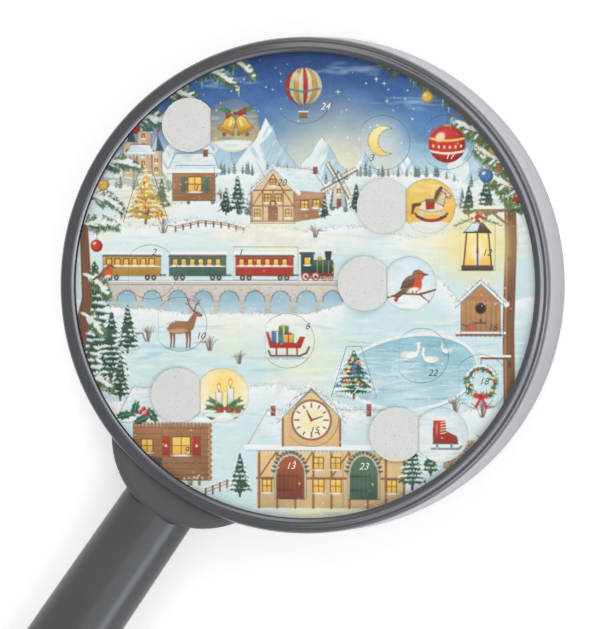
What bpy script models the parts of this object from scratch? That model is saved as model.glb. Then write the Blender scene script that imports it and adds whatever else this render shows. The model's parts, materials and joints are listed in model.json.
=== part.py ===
"""Advent calendar in a hand-lens frame: a round printed card with 24 creased doors, held in a deep
moulded ring with a handle.

The model lies on its back. +Z is the way the card faces, +Y is the top of the picture, and the
origin is on the ring's axis in the plane of the rear cover, on which the whole thing rests.
"""

import math

import bmesh
import bpy

MM = 0.001
DEGREE = math.pi / 180
FULL_TURN = 360 * DEGREE

# Gaps and cutting
FIT_GAP = 0.3 * MM          # left between two pieces that touch
CUT_KERF = 0.3 * MM         # width of the die cut round a door
CUT_OVERRUN = 1.0 * MM      # how far a cutting shape runs past the faces that it cuts
WELD_DISTANCE = 0.001 * MM

# Ring housing
PICTURE_RADIUS = 107.5 * MM
RING_DEPTH = 48.0 * MM      # from the rear cover to the crest of the bezel's bead
FRONT_WALL = 3.6 * MM       # thickness of the ring's front edge, outside the bezel's foot
RING_FLARE = 1.3 * MM       # how much further out the side wall stands at the back
SIDE_WALL = 2.8 * MM
LIP_DROP = 0.8 * MM         # how far the ring's lip stays below the crest of the bead
LIP_ROUND = 0.45 * MM
SHOULDER_FALL = 4.2 * MM
BACK_EDGE_ROUND = 1.2 * MM
SHELF_WIDTH = 6.0 * MM      # how far the shelf reaches in under the board
SHELF_THICKNESS = 2.5 * MM
RING_SEGMENTS = 84
FLARE_STEPS = 3
SHOULDER_STEPS = 4
LIP_STEPS = 2
FLARE_POWER = 1.6

# Bezel ring
BEZEL_WIDTH = 2.5 * MM      # of its foot, which holds the edge of the card
BEZEL_OVERHANG = 1.25 * MM  # how far the bead reaches out over the ledge in the ring
BEAD_RISE = 1.3 * MM
BEAD_EDGE = 0.6 * MM        # thickness of the bead's outer edge
BEZEL_STEPS = 6

# Card, picture sheet and board
LIP_RECESS = 5.0 * MM       # how deep the card lies below the ring's lip
CARD_THICKNESS = 0.5 * MM
SHEET_THICKNESS = 0.4 * MM
BOARD_THICKNESS = 2.0 * MM

# Doors
CREASE_LIFT = 0.1 * MM      # the crease line above the card's face
REST_OPEN_ANGLE = 172 * DEGREE
FOLD_CHORD_SHARE = 0.815    # the fold's distance from a round door's centre, in its radius
EAVES_SHARE = 0.62          # height of the eaves in the height of a gabled door
FIR_TIP_SHARE = 0.32        # width of a fir door's tip in its base
ROUND_DOOR_STEPS = 20
ARCH_STEPS = 8

# Door sizes in the picture's radius, so that the doors keep their places when the picture grows:
# width and height of each outline, where a fir's height runs away from its fold
DOOR_SIZE_SHARES = {
    "round": (0.2326, 0.2326),
    "large": (0.2605, 0.2605),
    "wide": (0.2791, 0.1395),
    "tall": (0.1488, 0.2047),
    "small": (0.1674, 0.1488),
    "gable": (0.1953, 0.2326),
    "arch": (0.1395, 0.2047),
    "fir": (0.1953, 0.2140),
}

# Each door: outline, side of the fold, whether it stands open
DOOR_CUTS = {
    1: ("wide", "left", False),
    2: ("round", "left", False),
    3: ("round", "left", False),
    4: ("fir", "bottom", False),
    5: ("round", "left", True),
    6: ("round", "left", False),
    7: ("fir", "bottom", False),
    8: ("round", "left", True),
    9: ("small", "right", False),
    10: ("round", "left", False),
    11: ("small", "left", False),
    12: ("tall", "left", False),
    13: ("arch", "left", False),
    14: ("round", "left", True),
    15: ("round", "left", False),
    16: ("gable", "left", False),
    17: ("round", "left", False),
    18: ("round", "left", False),
    19: ("round", "left", True),
    20: ("gable", "right", False),
    21: ("round", "left", True),
    22: ("round", "left", False),
    23: ("arch", "left", False),
    24: ("large", "left", False),
}

# Middle of each door's fold, across and up from the picture's centre, in its radius
FOLD_PLACE_SHARES = {
    1: (-0.307, 0.093),
    2: (-0.763, 0.056),
    3: (0.244, 0.607),
    4: (-0.688, 0.270),
    5: (0.357, 0.008),
    6: (-0.168, -0.237),
    7: (0.214, -0.474),
    8: (0.439, 0.338),
    9: (-0.450, -0.688),
    10: (-0.633, -0.168),
    11: (-0.558, 0.437),
    12: (0.670, 0.167),
    13: (-0.130, -0.809),
    14: (-0.451, -0.470),
    15: (-0.064, -0.572),
    16: (0.660, -0.093),
    17: (0.519, 0.609),
    18: (0.665, -0.409),
    19: (-0.404, 0.685),
    20: (-0.037, 0.381),
    21: (0.493, -0.633),
    22: (0.409, -0.298),
    23: (0.186, -0.809),
    24: (-0.111, 0.819),
}
FOLD_TURNS = {"left": 0, "bottom": 90 * DEGREE, "right": 180 * DEGREE}

# Rear cover and its screws
COVER_THICKNESS = 3.0 * MM
COVER_LIP_WALL = 1.6 * MM   # ring wall left outside the cover
COVER_CHAMFER = 0.6 * MM
SCREW_COUNT = 6
SCREW_SHANK_RADIUS = 1.3 * MM
SCREW_LENGTH = 10.5 * MM
SCREW_POINT = 1.2 * MM
SCREW_HEAD_RADIUS = 2.7 * MM
SCREW_HEAD_HEIGHT = 1.2 * MM
SCREW_HEAD_SINK = 0.1 * MM  # head's face inside the cover's face
DRIVER_SLOT_WIDTH = 0.7 * MM
DRIVER_SLOT_LENGTH = 3.2 * MM
DRIVER_SLOT_DEPTH = 0.7 * MM
BOSS_RADIUS = 3.6 * MM
BOSS_SKIN = 0.5 * MM        # ring wall left outside a boss
PILOT_DEPTH = 14.0 * MM
SMALL_SEGMENTS = 12

# Collar between ring and handle
HANDLE_ANGLE = 235.3 * DEGREE
COLLAR_RADIUS = 42.6 * MM
COLLAR_REACH = 12.4 * MM    # how far it stands out past the ring's back edge
COLLAR_PROUD = 1.0 * MM     # its face above the handle's neck
COLLAR_EDGE_ROUND = 4.5 * MM
COLLAR_VALLEY = 0.8 * MM    # how far its face falls away towards the ring
COLLAR_CROWN_WIDTH = 1.2 * MM
COLLAR_SEGMENTS = 72
ROUNDING_STEPS = 4

# Handle grip
GRIP_LENGTH = 200.0 * MM
GRIP_NECK_RADIUS = 17.6 * MM
GRIP_BELLY_RADIUS = 18.7 * MM
GRIP_END_RADIUS = 18.0 * MM
GRIP_BELLY_SHARE = 0.55     # place of the fullest part along the grip
GRIP_BORE_RADIUS = 15.4 * MM
GRIP_HEAD_WALL = 9.0 * MM   # solid head that the stud passes through
GRIP_SEGMENTS = 40
GRIP_STEPS = 8

# End cap
CAP_PLUG_LENGTH = 14.0 * MM
CAP_DOME_HEIGHT = 8.5 * MM
CAP_STEPS = 5

# Stud, washers and nuts
STUD_ROOM = 12.7 * MM       # from the handle's axis up to the shelf
STUD_RADIUS = 3.0 * MM
STUD_TIP = 0.8 * MM
STUD_SPARE = 2.0 * MM       # thread that stands out past each nut
WASHER_RADIUS = 6.0 * MM
WASHER_THICKNESS = 1.6 * MM
NUT_ACROSS_FLATS = 10.0 * MM
NUT_HEIGHT = 5.0 * MM
PAD_SHELF_SHARE = 0.33      # how far the washer's flat seat runs up into the shelf
PAD_HEIGHT = 5.5 * MM
HEX_SIDES = 6

# Colours as they look, before conversion to linear light: colour, roughness
MATERIALS = {
    "dark_plastic": ((0.30, 0.30, 0.31), 0.34),
    "grip_plastic": ((0.31, 0.31, 0.33), 0.28),
    "bezel_plastic": ((0.27, 0.27, 0.28), 0.30),
    "printed_card": ((0.80, 0.90, 0.92), 0.55),
    "grey_board_leaf": ((0.85, 0.85, 0.83), 0.70),
    "picture_paper": ((0.90, 0.92, 0.90), 0.55),
    "backing_greyboard": ((0.62, 0.59, 0.55), 0.85),
    "zinc_steel": ((0.66, 0.67, 0.69), 0.35),
}
METALS = {"zinc_steel"}

# Heights and radii that follow from the sizes above
CARD_FRONT = RING_DEPTH - LIP_RECESS
CARD_BACK = CARD_FRONT - CARD_THICKNESS
SHEET_FRONT = CARD_BACK - FIT_GAP
SHEET_BACK = SHEET_FRONT - SHEET_THICKNESS
BOARD_FRONT = SHEET_BACK - FIT_GAP
BOARD_BACK = BOARD_FRONT - BOARD_THICKNESS
SHELF_TOP = BOARD_BACK - FIT_GAP
SHELF_BOTTOM = SHELF_TOP - SHELF_THICKNESS
LAYER_RADIUS = PICTURE_RADIUS + BEZEL_WIDTH
BORE_RADIUS = LAYER_RADIUS + FIT_GAP
SHELF_RADIUS = BORE_RADIUS - SHELF_WIDTH
BEZEL_RADIUS = LAYER_RADIUS + BEZEL_OVERHANG
LIP_BORE_RADIUS = BEZEL_RADIUS + FIT_GAP
BEAD_BOTTOM = RING_DEPTH - BEAD_RISE - BEAD_EDGE
LEDGE_HEIGHT = BEAD_BOTTOM - FIT_GAP
SHOULDER_RADIUS = BORE_RADIUS + FRONT_WALL
SHOULDER_ROUND = SHOULDER_RADIUS - LIP_BORE_RADIUS - LIP_ROUND
LIP_HEIGHT = RING_DEPTH - LIP_DROP
SHOULDER_START = LIP_HEIGHT - SHOULDER_FALL
BACK_RADIUS = SHOULDER_RADIUS + RING_FLARE
COVER_SEAT_RADIUS = BACK_RADIUS - COVER_LIP_WALL
COVER_RADIUS = COVER_SEAT_RADIUS - FIT_GAP
COVER_LEDGE = COVER_THICKNESS + FIT_GAP
BOSS_CENTRE_RADIUS = SHOULDER_RADIUS - BOSS_SKIN - BOSS_RADIUS
PILOT_RADIUS = SCREW_SHANK_RADIUS + FIT_GAP
HANDLE_AXIS_HEIGHT = SHELF_BOTTOM - STUD_ROOM
PAD_HALF_WIDTH = STUD_ROOM + SHELF_THICKNESS * PAD_SHELF_SHARE
COLLAR_APEX = BACK_RADIUS + COLLAR_REACH
COLLAR_CENTRE = COLLAR_APEX - COLLAR_RADIUS
COLLAR_HALF = GRIP_NECK_RADIUS + COLLAR_PROUD
GRIP_START = COLLAR_APEX + FIT_GAP
GRIP_END = GRIP_START + GRIP_LENGTH
STUD_HOLE_RADIUS = STUD_RADIUS + FIT_GAP


def material(name):
    """A plain shader material from the table above, made once."""
    made = bpy.data.materials.get(name)
    if made:
        return made
    colour, roughness = MATERIALS[name]
    made = bpy.data.materials.new(name)
    made.use_nodes = True
    shader = made.node_tree.nodes["Principled BSDF"]
    linear = [((c + 0.055) / 1.055) ** 2.4 for c in colour]
    shader.inputs["Base Color"].default_value = (*linear, 1)
    shader.inputs["Roughness"].default_value = roughness
    shader.inputs["Metallic"].default_value = 1 if name in METALS else 0
    return made


def mesh_from(name, bm, smooth_angle=35 * DEGREE):
    """Closes off a mesh under construction: faces outward, round faces smooth."""
    bmesh.ops.recalc_face_normals(bm, faces=bm.faces)
    mesh = bpy.data.meshes.new(name)
    bm.to_mesh(mesh)
    bm.free()
    mesh.shade_smooth()
    mesh.set_sharp_from_angle(angle=smooth_angle)
    return mesh


def place(name, mesh, material_name=None, parent=None, location=(0, 0, 0), rotation=(0, 0, 0)):
    """An object for a mesh. One without a material is a cutting or joining shape."""
    piece = bpy.data.objects.new(name, mesh)
    bpy.context.scene.collection.objects.link(piece)
    piece.parent = parent
    piece.location = location
    piece.rotation_euler = rotation
    if material_name is None:
        piece.hide_render = True
        piece.display_type = "WIRE"
    elif not mesh.materials:
        mesh.materials.append(material(material_name))
    return piece


def combine(piece, other, operation):
    """Cuts another shape out of a piece, or joins it on."""
    step = piece.modifiers.new(other.name, "BOOLEAN")
    step.operation = operation
    step.solver = "EXACT"
    step.object = other


def turned(name, profile, segments):
    """A solid of revolution about Z from points of radius and height.

    A profile that starts and ends on the axis is left open there.
    """
    bm = bmesh.new()
    verts = [bm.verts.new((radius, 0, height)) for radius, height in profile]
    pairs = list(zip(verts, verts[1:]))
    if profile[0][0] > 0:
        pairs.append((verts[-1], verts[0]))
    edges = [bm.edges.new(pair) for pair in pairs]
    bmesh.ops.spin(
        bm, geom=verts + edges, cent=(0, 0, 0), axis=(0, 0, 1), angle=FULL_TURN, steps=segments
    )
    bmesh.ops.remove_doubles(bm, verts=bm.verts, dist=WELD_DISTANCE)
    return mesh_from(name, bm)


def add_prism(bm, outline, bottom, top):
    """Adds an upright prism on a closed outline of points in the XY plane."""
    base = bm.faces.new([bm.verts.new((x, y, bottom)) for x, y in outline])
    raised = bmesh.ops.extrude_face_region(bm, geom=[base])
    moved = [item for item in raised["geom"] if isinstance(item, bmesh.types.BMVert)]
    bmesh.ops.translate(bm, verts=moved, vec=(0, 0, top - bottom))


def prism(name, outline, bottom, top):
    bm = bmesh.new()
    add_prism(bm, outline, bottom, top)
    return mesh_from(name, bm)


def arc(centre, radii, start, end, steps):
    """Points along part of an ellipse, from one angle to another, both ends included."""
    turns = [start + (end - start) * step / steps for step in range(steps + 1)]
    return [
        (centre[0] + radii[0] * math.cos(turn), centre[1] + radii[1] * math.sin(turn))
        for turn in turns
    ]


def circle(radius, segments, centre=(0, 0)):
    return arc(centre, (radius, radius), 0, FULL_TURN, segments)[:-1]


def offset_outline(outline, distance):
    """Moves every side of an anticlockwise outline outward by a distance."""
    moved = []
    for index, (x, y) in enumerate(outline):
        before = outline[index - 1]
        after = outline[(index + 1) % len(outline)]
        normals = []
        for start, end in ((before, (x, y)), ((x, y), after)):
            run, rise = end[0] - start[0], end[1] - start[1]
            length = math.hypot(run, rise)
            normals.append((rise / length, -run / length))
        spread = 1 + normals[0][0] * normals[1][0] + normals[0][1] * normals[1][1]
        moved.append((
            x + distance * (normals[0][0] + normals[1][0]) / spread,
            y + distance * (normals[0][1] + normals[1][1]) / spread,
        ))
    return moved


# Ring housing: one turned moulding, with screw bosses and a stud pad grown onto its inner wall

def wall_radius(height):
    """Outside of the side wall: it widens ever faster from the shoulder to the back."""
    fall = 1 - height / SHOULDER_START
    return SHOULDER_RADIUS + RING_FLARE * fall ** FLARE_POWER


def ring_outside(clearance=0):
    """Radius and height from the ring's back edge, up the flared wall, over the shoulder to its lip.

    A clearance draws the same line that much further out, for what fits against the ring.
    """
    edge = BACK_EDGE_ROUND
    line = arc(
        (BACK_RADIUS - edge, edge), (edge + clearance, edge + clearance),
        -90 * DEGREE, 0, LIP_STEPS,
    )
    for step in range(1, FLARE_STEPS):
        height = edge + (SHOULDER_START - edge) * step / FLARE_STEPS
        line.append((wall_radius(height) + clearance, height))
    line += arc(
        (SHOULDER_RADIUS - SHOULDER_ROUND, SHOULDER_START),
        (SHOULDER_ROUND + clearance, SHOULDER_FALL + clearance),
        0, 90 * DEGREE, SHOULDER_STEPS,
    )
    return line


def build_ring_housing(handle_frame):
    lip = arc(
        (LIP_BORE_RADIUS + LIP_ROUND, LIP_HEIGHT - LIP_ROUND), (LIP_ROUND, LIP_ROUND),
        90 * DEGREE, 180 * DEGREE, LIP_STEPS,
    )
    middle = (SHELF_BOTTOM + COVER_LEDGE) / 2
    profile = ring_outside() + lip[1:] + [
        (LIP_BORE_RADIUS, LEDGE_HEIGHT),
        (BORE_RADIUS, LEDGE_HEIGHT),
        (BORE_RADIUS, SHELF_TOP),
        (SHELF_RADIUS, SHELF_TOP),
        (SHELF_RADIUS, SHELF_BOTTOM),
        (wall_radius(SHELF_BOTTOM) - SIDE_WALL, SHELF_BOTTOM),
        (wall_radius(middle) - SIDE_WALL, middle),
        (wall_radius(COVER_LEDGE) - SIDE_WALL, COVER_LEDGE),
        (COVER_SEAT_RADIUS, COVER_LEDGE),
        (COVER_SEAT_RADIUS, 0),
    ]
    ring = place("ring_housing", turned("ring_housing", profile, RING_SEGMENTS), "dark_plastic")

    bosses, pilots = bmesh.new(), bmesh.new()
    boss_top = SHELF_BOTTOM + SHELF_THICKNESS / 2
    for x, y in screw_places():
        add_prism(bosses, circle(BOSS_RADIUS, SMALL_SEGMENTS, (x, y)), COVER_LEDGE, boss_top)
        add_prism(
            pilots, circle(PILOT_RADIUS, SMALL_SEGMENTS, (x, y)),
            COVER_LEDGE - CUT_OVERRUN, COVER_LEDGE + PILOT_DEPTH,
        )
    combine(ring, place("boss_shapes", mesh_from("boss_shapes", bosses)), "UNION")

    side = PAD_HALF_WIDTH
    square = [(-side, -side), (side, -side), (side, side), (-side, side)]
    pad = prism("pad_shape", square, pad_face(), wall_radius(HANDLE_AXIS_HEIGHT) - SIDE_WALL / 2)
    combine(ring, place("pad_shape", pad, parent=handle_frame), "UNION")
    combine(ring, place("pilot_holes", mesh_from("pilot_holes", pilots)), "DIFFERENCE")
    return ring


def screw_places():
    """Centres of the cover screws, spaced evenly and half a step away from the handle."""
    step = FULL_TURN / SCREW_COUNT
    turns = [HANDLE_ANGLE + step * (index + 0.5) for index in range(SCREW_COUNT)]
    return [
        (BOSS_CENTRE_RADIUS * math.cos(turn), BOSS_CENTRE_RADIUS * math.sin(turn))
        for turn in turns
    ]


def pad_face():
    """Distance from the ring's axis to the flat face that the inner washer bears on."""
    return wall_radius(HANDLE_AXIS_HEIGHT) - SIDE_WALL - PAD_HEIGHT


# Bezel ring: a foot that stands on the card's edge, and a rounded bead that rests over a ledge in
# the ring

def build_bezel_ring():
    half_bead = (BEZEL_RADIUS - PICTURE_RADIUS) / 2
    bead = arc(
        (PICTURE_RADIUS + half_bead, RING_DEPTH - BEAD_RISE), (half_bead, BEAD_RISE),
        0, 180 * DEGREE, BEZEL_STEPS,
    )
    profile = [
        (PICTURE_RADIUS, CARD_FRONT + FIT_GAP),
        (LAYER_RADIUS, CARD_FRONT + FIT_GAP),
        (LAYER_RADIUS, BEAD_BOTTOM),
        (BEZEL_RADIUS, BEAD_BOTTOM),
    ] + bead
    place("bezel_ring", turned("bezel_ring", profile, RING_SEGMENTS), "bezel_plastic")


# Doors: each outline is drawn from its fold, which lies along Y through the origin, toward +X

def round_outline(width, height):
    radius = width / 2
    chord = radius * FOLD_CHORD_SHARE
    meet = math.acos(FOLD_CHORD_SHARE)
    reach = 180 * DEGREE - meet
    return arc((chord, 0), (radius, height / 2), -reach, reach, ROUND_DOOR_STEPS)


def box_outline(width, height):
    return [(0, -height / 2), (width, -height / 2), (width, height / 2), (0, height / 2)]


def gable_outline(width, height):
    half = height / 2
    eaves = height * EAVES_SHARE - half
    return [(0, -half), (width, -half), (width, eaves), (width / 2, half), (0, eaves)]


def arch_outline(width, height):
    radius, half = width / 2, height / 2
    crown = arc((radius, half - radius), (radius, radius), 0, 180 * DEGREE, ARCH_STEPS)
    return [(0, -half), (width, -half)] + crown


def fir_outline(width, height):
    """A fir folds at its base, so its height runs along X."""
    half, tip = width / 2, width * FIR_TIP_SHARE / 2
    return [(0, -half), (height, -tip), (height, tip), (0, half)]


OUTLINES = {
    "round": round_outline,
    "large": round_outline,
    "wide": box_outline,
    "tall": box_outline,
    "small": box_outline,
    "gable": gable_outline,
    "arch": arch_outline,
    "fir": fir_outline,
}


def door_outline(number):
    """The die-cut line of one door, seen from its own fold. A right-hand fold turns it half round,
    so its outline is mirrored first to keep its top up."""
    kind, fold_side, _ = DOOR_CUTS[number]
    width_share, height_share = DOOR_SIZE_SHARES[kind]
    outline = OUTLINES[kind](width_share * PICTURE_RADIUS, height_share * PICTURE_RADIUS)
    if fold_side == "right":
        outline = [(x, -y) for x, y in reversed(outline)]
    return outline


def fold_place(number):
    across, up = FOLD_PLACE_SHARES[number]
    return across * PICTURE_RADIUS, up * PICTURE_RADIUS


def turned_to_card(outline, number):
    """Brings an outline from its fold's own frame to its place on the card."""
    turn = FOLD_TURNS[DOOR_CUTS[number][1]]
    across, up = fold_place(number)
    return [
        (
            across + x * math.cos(turn) - y * math.sin(turn),
            up + x * math.sin(turn) + y * math.cos(turn),
        )
        for x, y in outline
    ]


def build_doors():
    meshes = {}
    for number, (outline_name, fold_side, stands_open) in DOOR_CUTS.items():
        shape = (outline_name, fold_side == "right")
        if shape not in meshes:
            leaf = offset_outline(door_outline(number), -CUT_KERF / 2)
            meshes[shape] = prism(
                f"leaf_{outline_name}_{fold_side}", leaf, -CREASE_LIFT - CARD_THICKNESS, -CREASE_LIFT
            )
        across, up = fold_place(number)
        swing = REST_OPEN_ANGLE if stands_open else 0
        place(
            f"door_{number:02d}", meshes[shape], "grey_board_leaf",
            location=(across, up, CARD_FRONT + CREASE_LIFT),
            rotation=(0, -swing, FOLD_TURNS[fold_side]),
        )


# Card pack: front card with its windows, picture sheet and board

def build_card_pack():
    rim = circle(LAYER_RADIUS, RING_SEGMENTS)
    card = place("calendar_card", prism("calendar_card", rim, CARD_BACK, CARD_FRONT), "printed_card")
    windows = bmesh.new()
    for number in DOOR_CUTS:
        window = offset_outline(door_outline(number), CUT_KERF / 2)
        add_prism(
            windows, turned_to_card(window, number),
            CARD_BACK - CUT_OVERRUN, CARD_FRONT + CUT_OVERRUN,
        )
    combine(card, place("window_cuts", mesh_from("window_cuts", windows)), "DIFFERENCE")
    place("picture_sheet", prism("picture_sheet", rim, SHEET_BACK, SHEET_FRONT), "picture_paper")
    place("backing_board", prism("backing_board", rim, BOARD_BACK, BOARD_FRONT), "backing_greyboard")


# Rear cover: a disc let into the ring's back, with sunk screws

def build_rear_cover():
    profile = [
        (0, 0),
        (COVER_RADIUS - COVER_CHAMFER, 0),
        (COVER_RADIUS, COVER_CHAMFER),
        (COVER_RADIUS, COVER_THICKNESS),
        (0, COVER_THICKNESS),
    ]
    cover = place("rear_cover", turned("rear_cover", profile, RING_SEGMENTS), "dark_plastic")
    sinks, holes = bmesh.new(), bmesh.new()
    sink_depth = SCREW_HEAD_SINK + SCREW_HEAD_HEIGHT + FIT_GAP
    for spot in screw_places():
        sink = circle(SCREW_HEAD_RADIUS + FIT_GAP, SMALL_SEGMENTS, spot)
        add_prism(sinks, sink, -CUT_OVERRUN, sink_depth)
        hole = circle(PILOT_RADIUS, SMALL_SEGMENTS, spot)
        add_prism(holes, hole, -CUT_OVERRUN, COVER_THICKNESS + CUT_OVERRUN)
    combine(cover, place("head_sinks", mesh_from("head_sinks", sinks)), "DIFFERENCE")
    combine(cover, place("cover_holes", mesh_from("cover_holes", holes)), "DIFFERENCE")


def build_cover_screws():
    head, shank = SCREW_HEAD_RADIUS, SCREW_SHANK_RADIUS
    tip = SCREW_HEAD_HEIGHT + SCREW_LENGTH
    screw = turned("cover_screw", [
        (0, 0),
        (head - SCREW_HEAD_HEIGHT / 2, 0),
        (head, SCREW_HEAD_HEIGHT / 2),
        (head, SCREW_HEAD_HEIGHT),
        (shank, SCREW_HEAD_HEIGHT),
        (shank, tip - SCREW_POINT),
        (0, tip),
    ], SMALL_SEGMENTS)
    slots = bmesh.new()
    long, short = DRIVER_SLOT_LENGTH / 2, DRIVER_SLOT_WIDTH / 2
    cross = [
        (long, -short), (long, short), (short, short), (short, long), (-short, long),
        (-short, short), (-long, short), (-long, -short), (-short, -short), (-short, -long),
        (short, -long), (short, -short),
    ]
    add_prism(slots, cross, -CUT_OVERRUN, DRIVER_SLOT_DEPTH)
    slot_mesh = mesh_from("driver_slot", slots)
    for index, (x, y) in enumerate(screw_places(), start=1):
        spot = (x, y, SCREW_HEAD_SINK)
        piece = place(f"cover_screw_{index}", screw, "zinc_steel", location=spot)
        combine(piece, place(f"driver_slot_{index}", slot_mesh, location=spot), "DIFFERENCE")


# Collar: a round boss about an upright axis inside the ring, of which the ring's own outside
# leaves only a crescent

def collar_profile():
    crown = COLLAR_RADIUS - COLLAR_EDGE_ROUND
    foot = COLLAR_RADIUS - COLLAR_REACH
    face = [
        (foot, COLLAR_HALF - COLLAR_VALLEY),
        ((foot + crown - COLLAR_CROWN_WIDTH) / 2, COLLAR_HALF - COLLAR_VALLEY / 3),
        (crown - COLLAR_CROWN_WIDTH, COLLAR_HALF),
    ]
    edge = arc(
        (crown, COLLAR_HALF - COLLAR_EDGE_ROUND), (COLLAR_EDGE_ROUND, COLLAR_EDGE_ROUND),
        90 * DEGREE, 0, ROUNDING_STEPS,
    )
    upper = [(0, COLLAR_HALF - COLLAR_VALLEY)] + face + edge
    return upper + [(radius, -height) for radius, height in reversed(upper)]


def build_collar(stud_hole):
    centre = (
        COLLAR_CENTRE * math.cos(HANDLE_ANGLE),
        COLLAR_CENTRE * math.sin(HANDLE_ANGLE),
        HANDLE_AXIS_HEIGHT,
    )
    collar = place(
        "handle_collar", turned("handle_collar", collar_profile(), COLLAR_SEGMENTS),
        "dark_plastic", location=centre,
    )
    outside = ring_outside(FIT_GAP)
    outside = [(outside[0][0], -CUT_OVERRUN)] + outside[1:]
    top = outside[-1][1] + CUT_OVERRUN
    envelope = [(0, -CUT_OVERRUN)] + outside + [(outside[-1][0], top), (0, top)]
    ring_shape = turned("ring_outside_shape", envelope, RING_SEGMENTS)
    combine(collar, place("ring_outside_shape", ring_shape), "DIFFERENCE")
    combine(collar, stud_hole, "DIFFERENCE")
    scribe = circle(COLLAR_RADIUS + FIT_GAP, COLLAR_SEGMENTS)
    reach = GRIP_BELLY_RADIUS + CUT_OVERRUN
    scribe_mesh = prism("grip_scribe_shape", scribe, -reach, reach)
    return place("grip_scribe_shape", scribe_mesh, location=centre)


# Handle: everything from here on is turned about the handle's own axis, with height measured
# along it from the ring's axis

def grip_radius(share):
    """Outside of the grip along its length: neck, a fuller belly, a slightly smaller end."""
    if share < GRIP_BELLY_SHARE:
        start, swell = GRIP_NECK_RADIUS, share / GRIP_BELLY_SHARE
    else:
        start, swell = GRIP_END_RADIUS, (1 - share) / (1 - GRIP_BELLY_SHARE)
    return start + (GRIP_BELLY_RADIUS - start) * math.sin(swell * 90 * DEGREE)


def build_grip(handle_frame, scribe):
    head = GRIP_START + GRIP_HEAD_WALL
    inside_scribe = COLLAR_APEX - GRIP_NECK_RADIUS / 2
    outside = [
        (grip_radius(step / GRIP_STEPS), GRIP_START + GRIP_LENGTH * step / GRIP_STEPS)
        for step in range(GRIP_STEPS + 1)
    ]
    profile = [(STUD_HOLE_RADIUS, inside_scribe), (GRIP_NECK_RADIUS, inside_scribe)] + outside + [
        (GRIP_BORE_RADIUS, GRIP_END),
        (GRIP_BORE_RADIUS, head),
        (STUD_HOLE_RADIUS, head),
    ]
    grip = turned("handle_grip", profile, GRIP_SEGMENTS)
    combine(place("handle_grip", grip, "grip_plastic", handle_frame), scribe, "DIFFERENCE")

    seat = GRIP_END + FIT_GAP
    plug = GRIP_BORE_RADIUS - FIT_GAP
    dome = arc((0, seat), (GRIP_END_RADIUS, CAP_DOME_HEIGHT), 0, 90 * DEGREE, CAP_STEPS)
    cap = [(0, GRIP_END - CAP_PLUG_LENGTH), (plug, GRIP_END - CAP_PLUG_LENGTH), (plug, seat)]
    cap += dome[:-1] + [(0, seat + CAP_DOME_HEIGHT)]
    place("end_cap", turned("end_cap", cap, GRIP_SEGMENTS), "dark_plastic", handle_frame)


def build_stud_set(handle_frame):
    """Stud from inside the ring to inside the grip, drawn tight by a nut and washer at each end."""
    ring_seat = pad_face() - FIT_GAP
    grip_seat = GRIP_START + GRIP_HEAD_WALL + FIT_GAP
    stack = WASHER_THICKNESS + FIT_GAP + NUT_HEIGHT + STUD_SPARE
    low, high = ring_seat - stack, grip_seat + stack
    slim = STUD_RADIUS - STUD_TIP
    stud = turned("handle_stud", [
        (0, low), (slim, low), (STUD_RADIUS, low + STUD_TIP),
        (STUD_RADIUS, high - STUD_TIP), (slim, high), (0, high),
    ], SMALL_SEGMENTS)
    place("handle_stud", stud, "zinc_steel", handle_frame)

    washer = turned("washer", [
        (STUD_HOLE_RADIUS, 0), (WASHER_RADIUS, 0),
        (WASHER_RADIUS, WASHER_THICKNESS), (STUD_HOLE_RADIUS, WASHER_THICKNESS),
    ], SMALL_SEGMENTS)
    place("ring_washer", washer, "zinc_steel", handle_frame, (0, 0, ring_seat - WASHER_THICKNESS))
    place("grip_washer", washer, "zinc_steel", handle_frame, (0, 0, grip_seat))

    corner = NUT_ACROSS_FLATS / 2 / math.cos(FULL_TURN / HEX_SIDES / 2)
    nut = prism("nut", circle(corner, HEX_SIDES), 0, NUT_HEIGHT)
    thread_hole = circle(STUD_HOLE_RADIUS, SMALL_SEGMENTS)
    bore = prism("nut_bore", thread_hole, -CUT_OVERRUN, NUT_HEIGHT + CUT_OVERRUN)
    past_washer = WASHER_THICKNESS + FIT_GAP
    for name, height in (
        ("ring_nut", ring_seat - past_washer - NUT_HEIGHT),
        ("grip_nut", grip_seat + past_washer),
    ):
        piece = place(name, nut, "zinc_steel", handle_frame, (0, 0, height))
        combine(piece, place(f"{name}_bore", bore, None, handle_frame, (0, 0, height)), "DIFFERENCE")


def build():
    for old in list(bpy.data.objects):
        bpy.data.objects.remove(old)
    handle_frame = bpy.data.objects.new("handle_frame", None)
    bpy.context.scene.collection.objects.link(handle_frame)
    handle_frame.location = (0, 0, HANDLE_AXIS_HEIGHT)
    handle_frame.rotation_euler = (0, 90 * DEGREE, HANDLE_ANGLE)

    hole = circle(STUD_HOLE_RADIUS, SMALL_SEGMENTS)
    hole_mesh = prism("stud_hole_shape", hole, pad_face() - CUT_OVERRUN, COLLAR_APEX + CUT_OVERRUN)
    stud_hole = place("stud_hole_shape", hole_mesh, parent=handle_frame)

    ring = build_ring_housing(handle_frame)
    combine(ring, stud_hole, "DIFFERENCE")
    build_bezel_ring()
    build_card_pack()
    build_doors()
    build_rear_cover()
    build_cover_screws()
    scribe = build_collar(stud_hole)
    build_grip(handle_frame, scribe)
    build_stud_set(handle_frame)


build()
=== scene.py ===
import json
import math

import bmesh
import bpy
import numpy as np
from mathutils import Matrix, Vector
from mathutils.bvhtree import BVHTree
from mathutils.geometry import delaunay_2d_cdt


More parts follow.
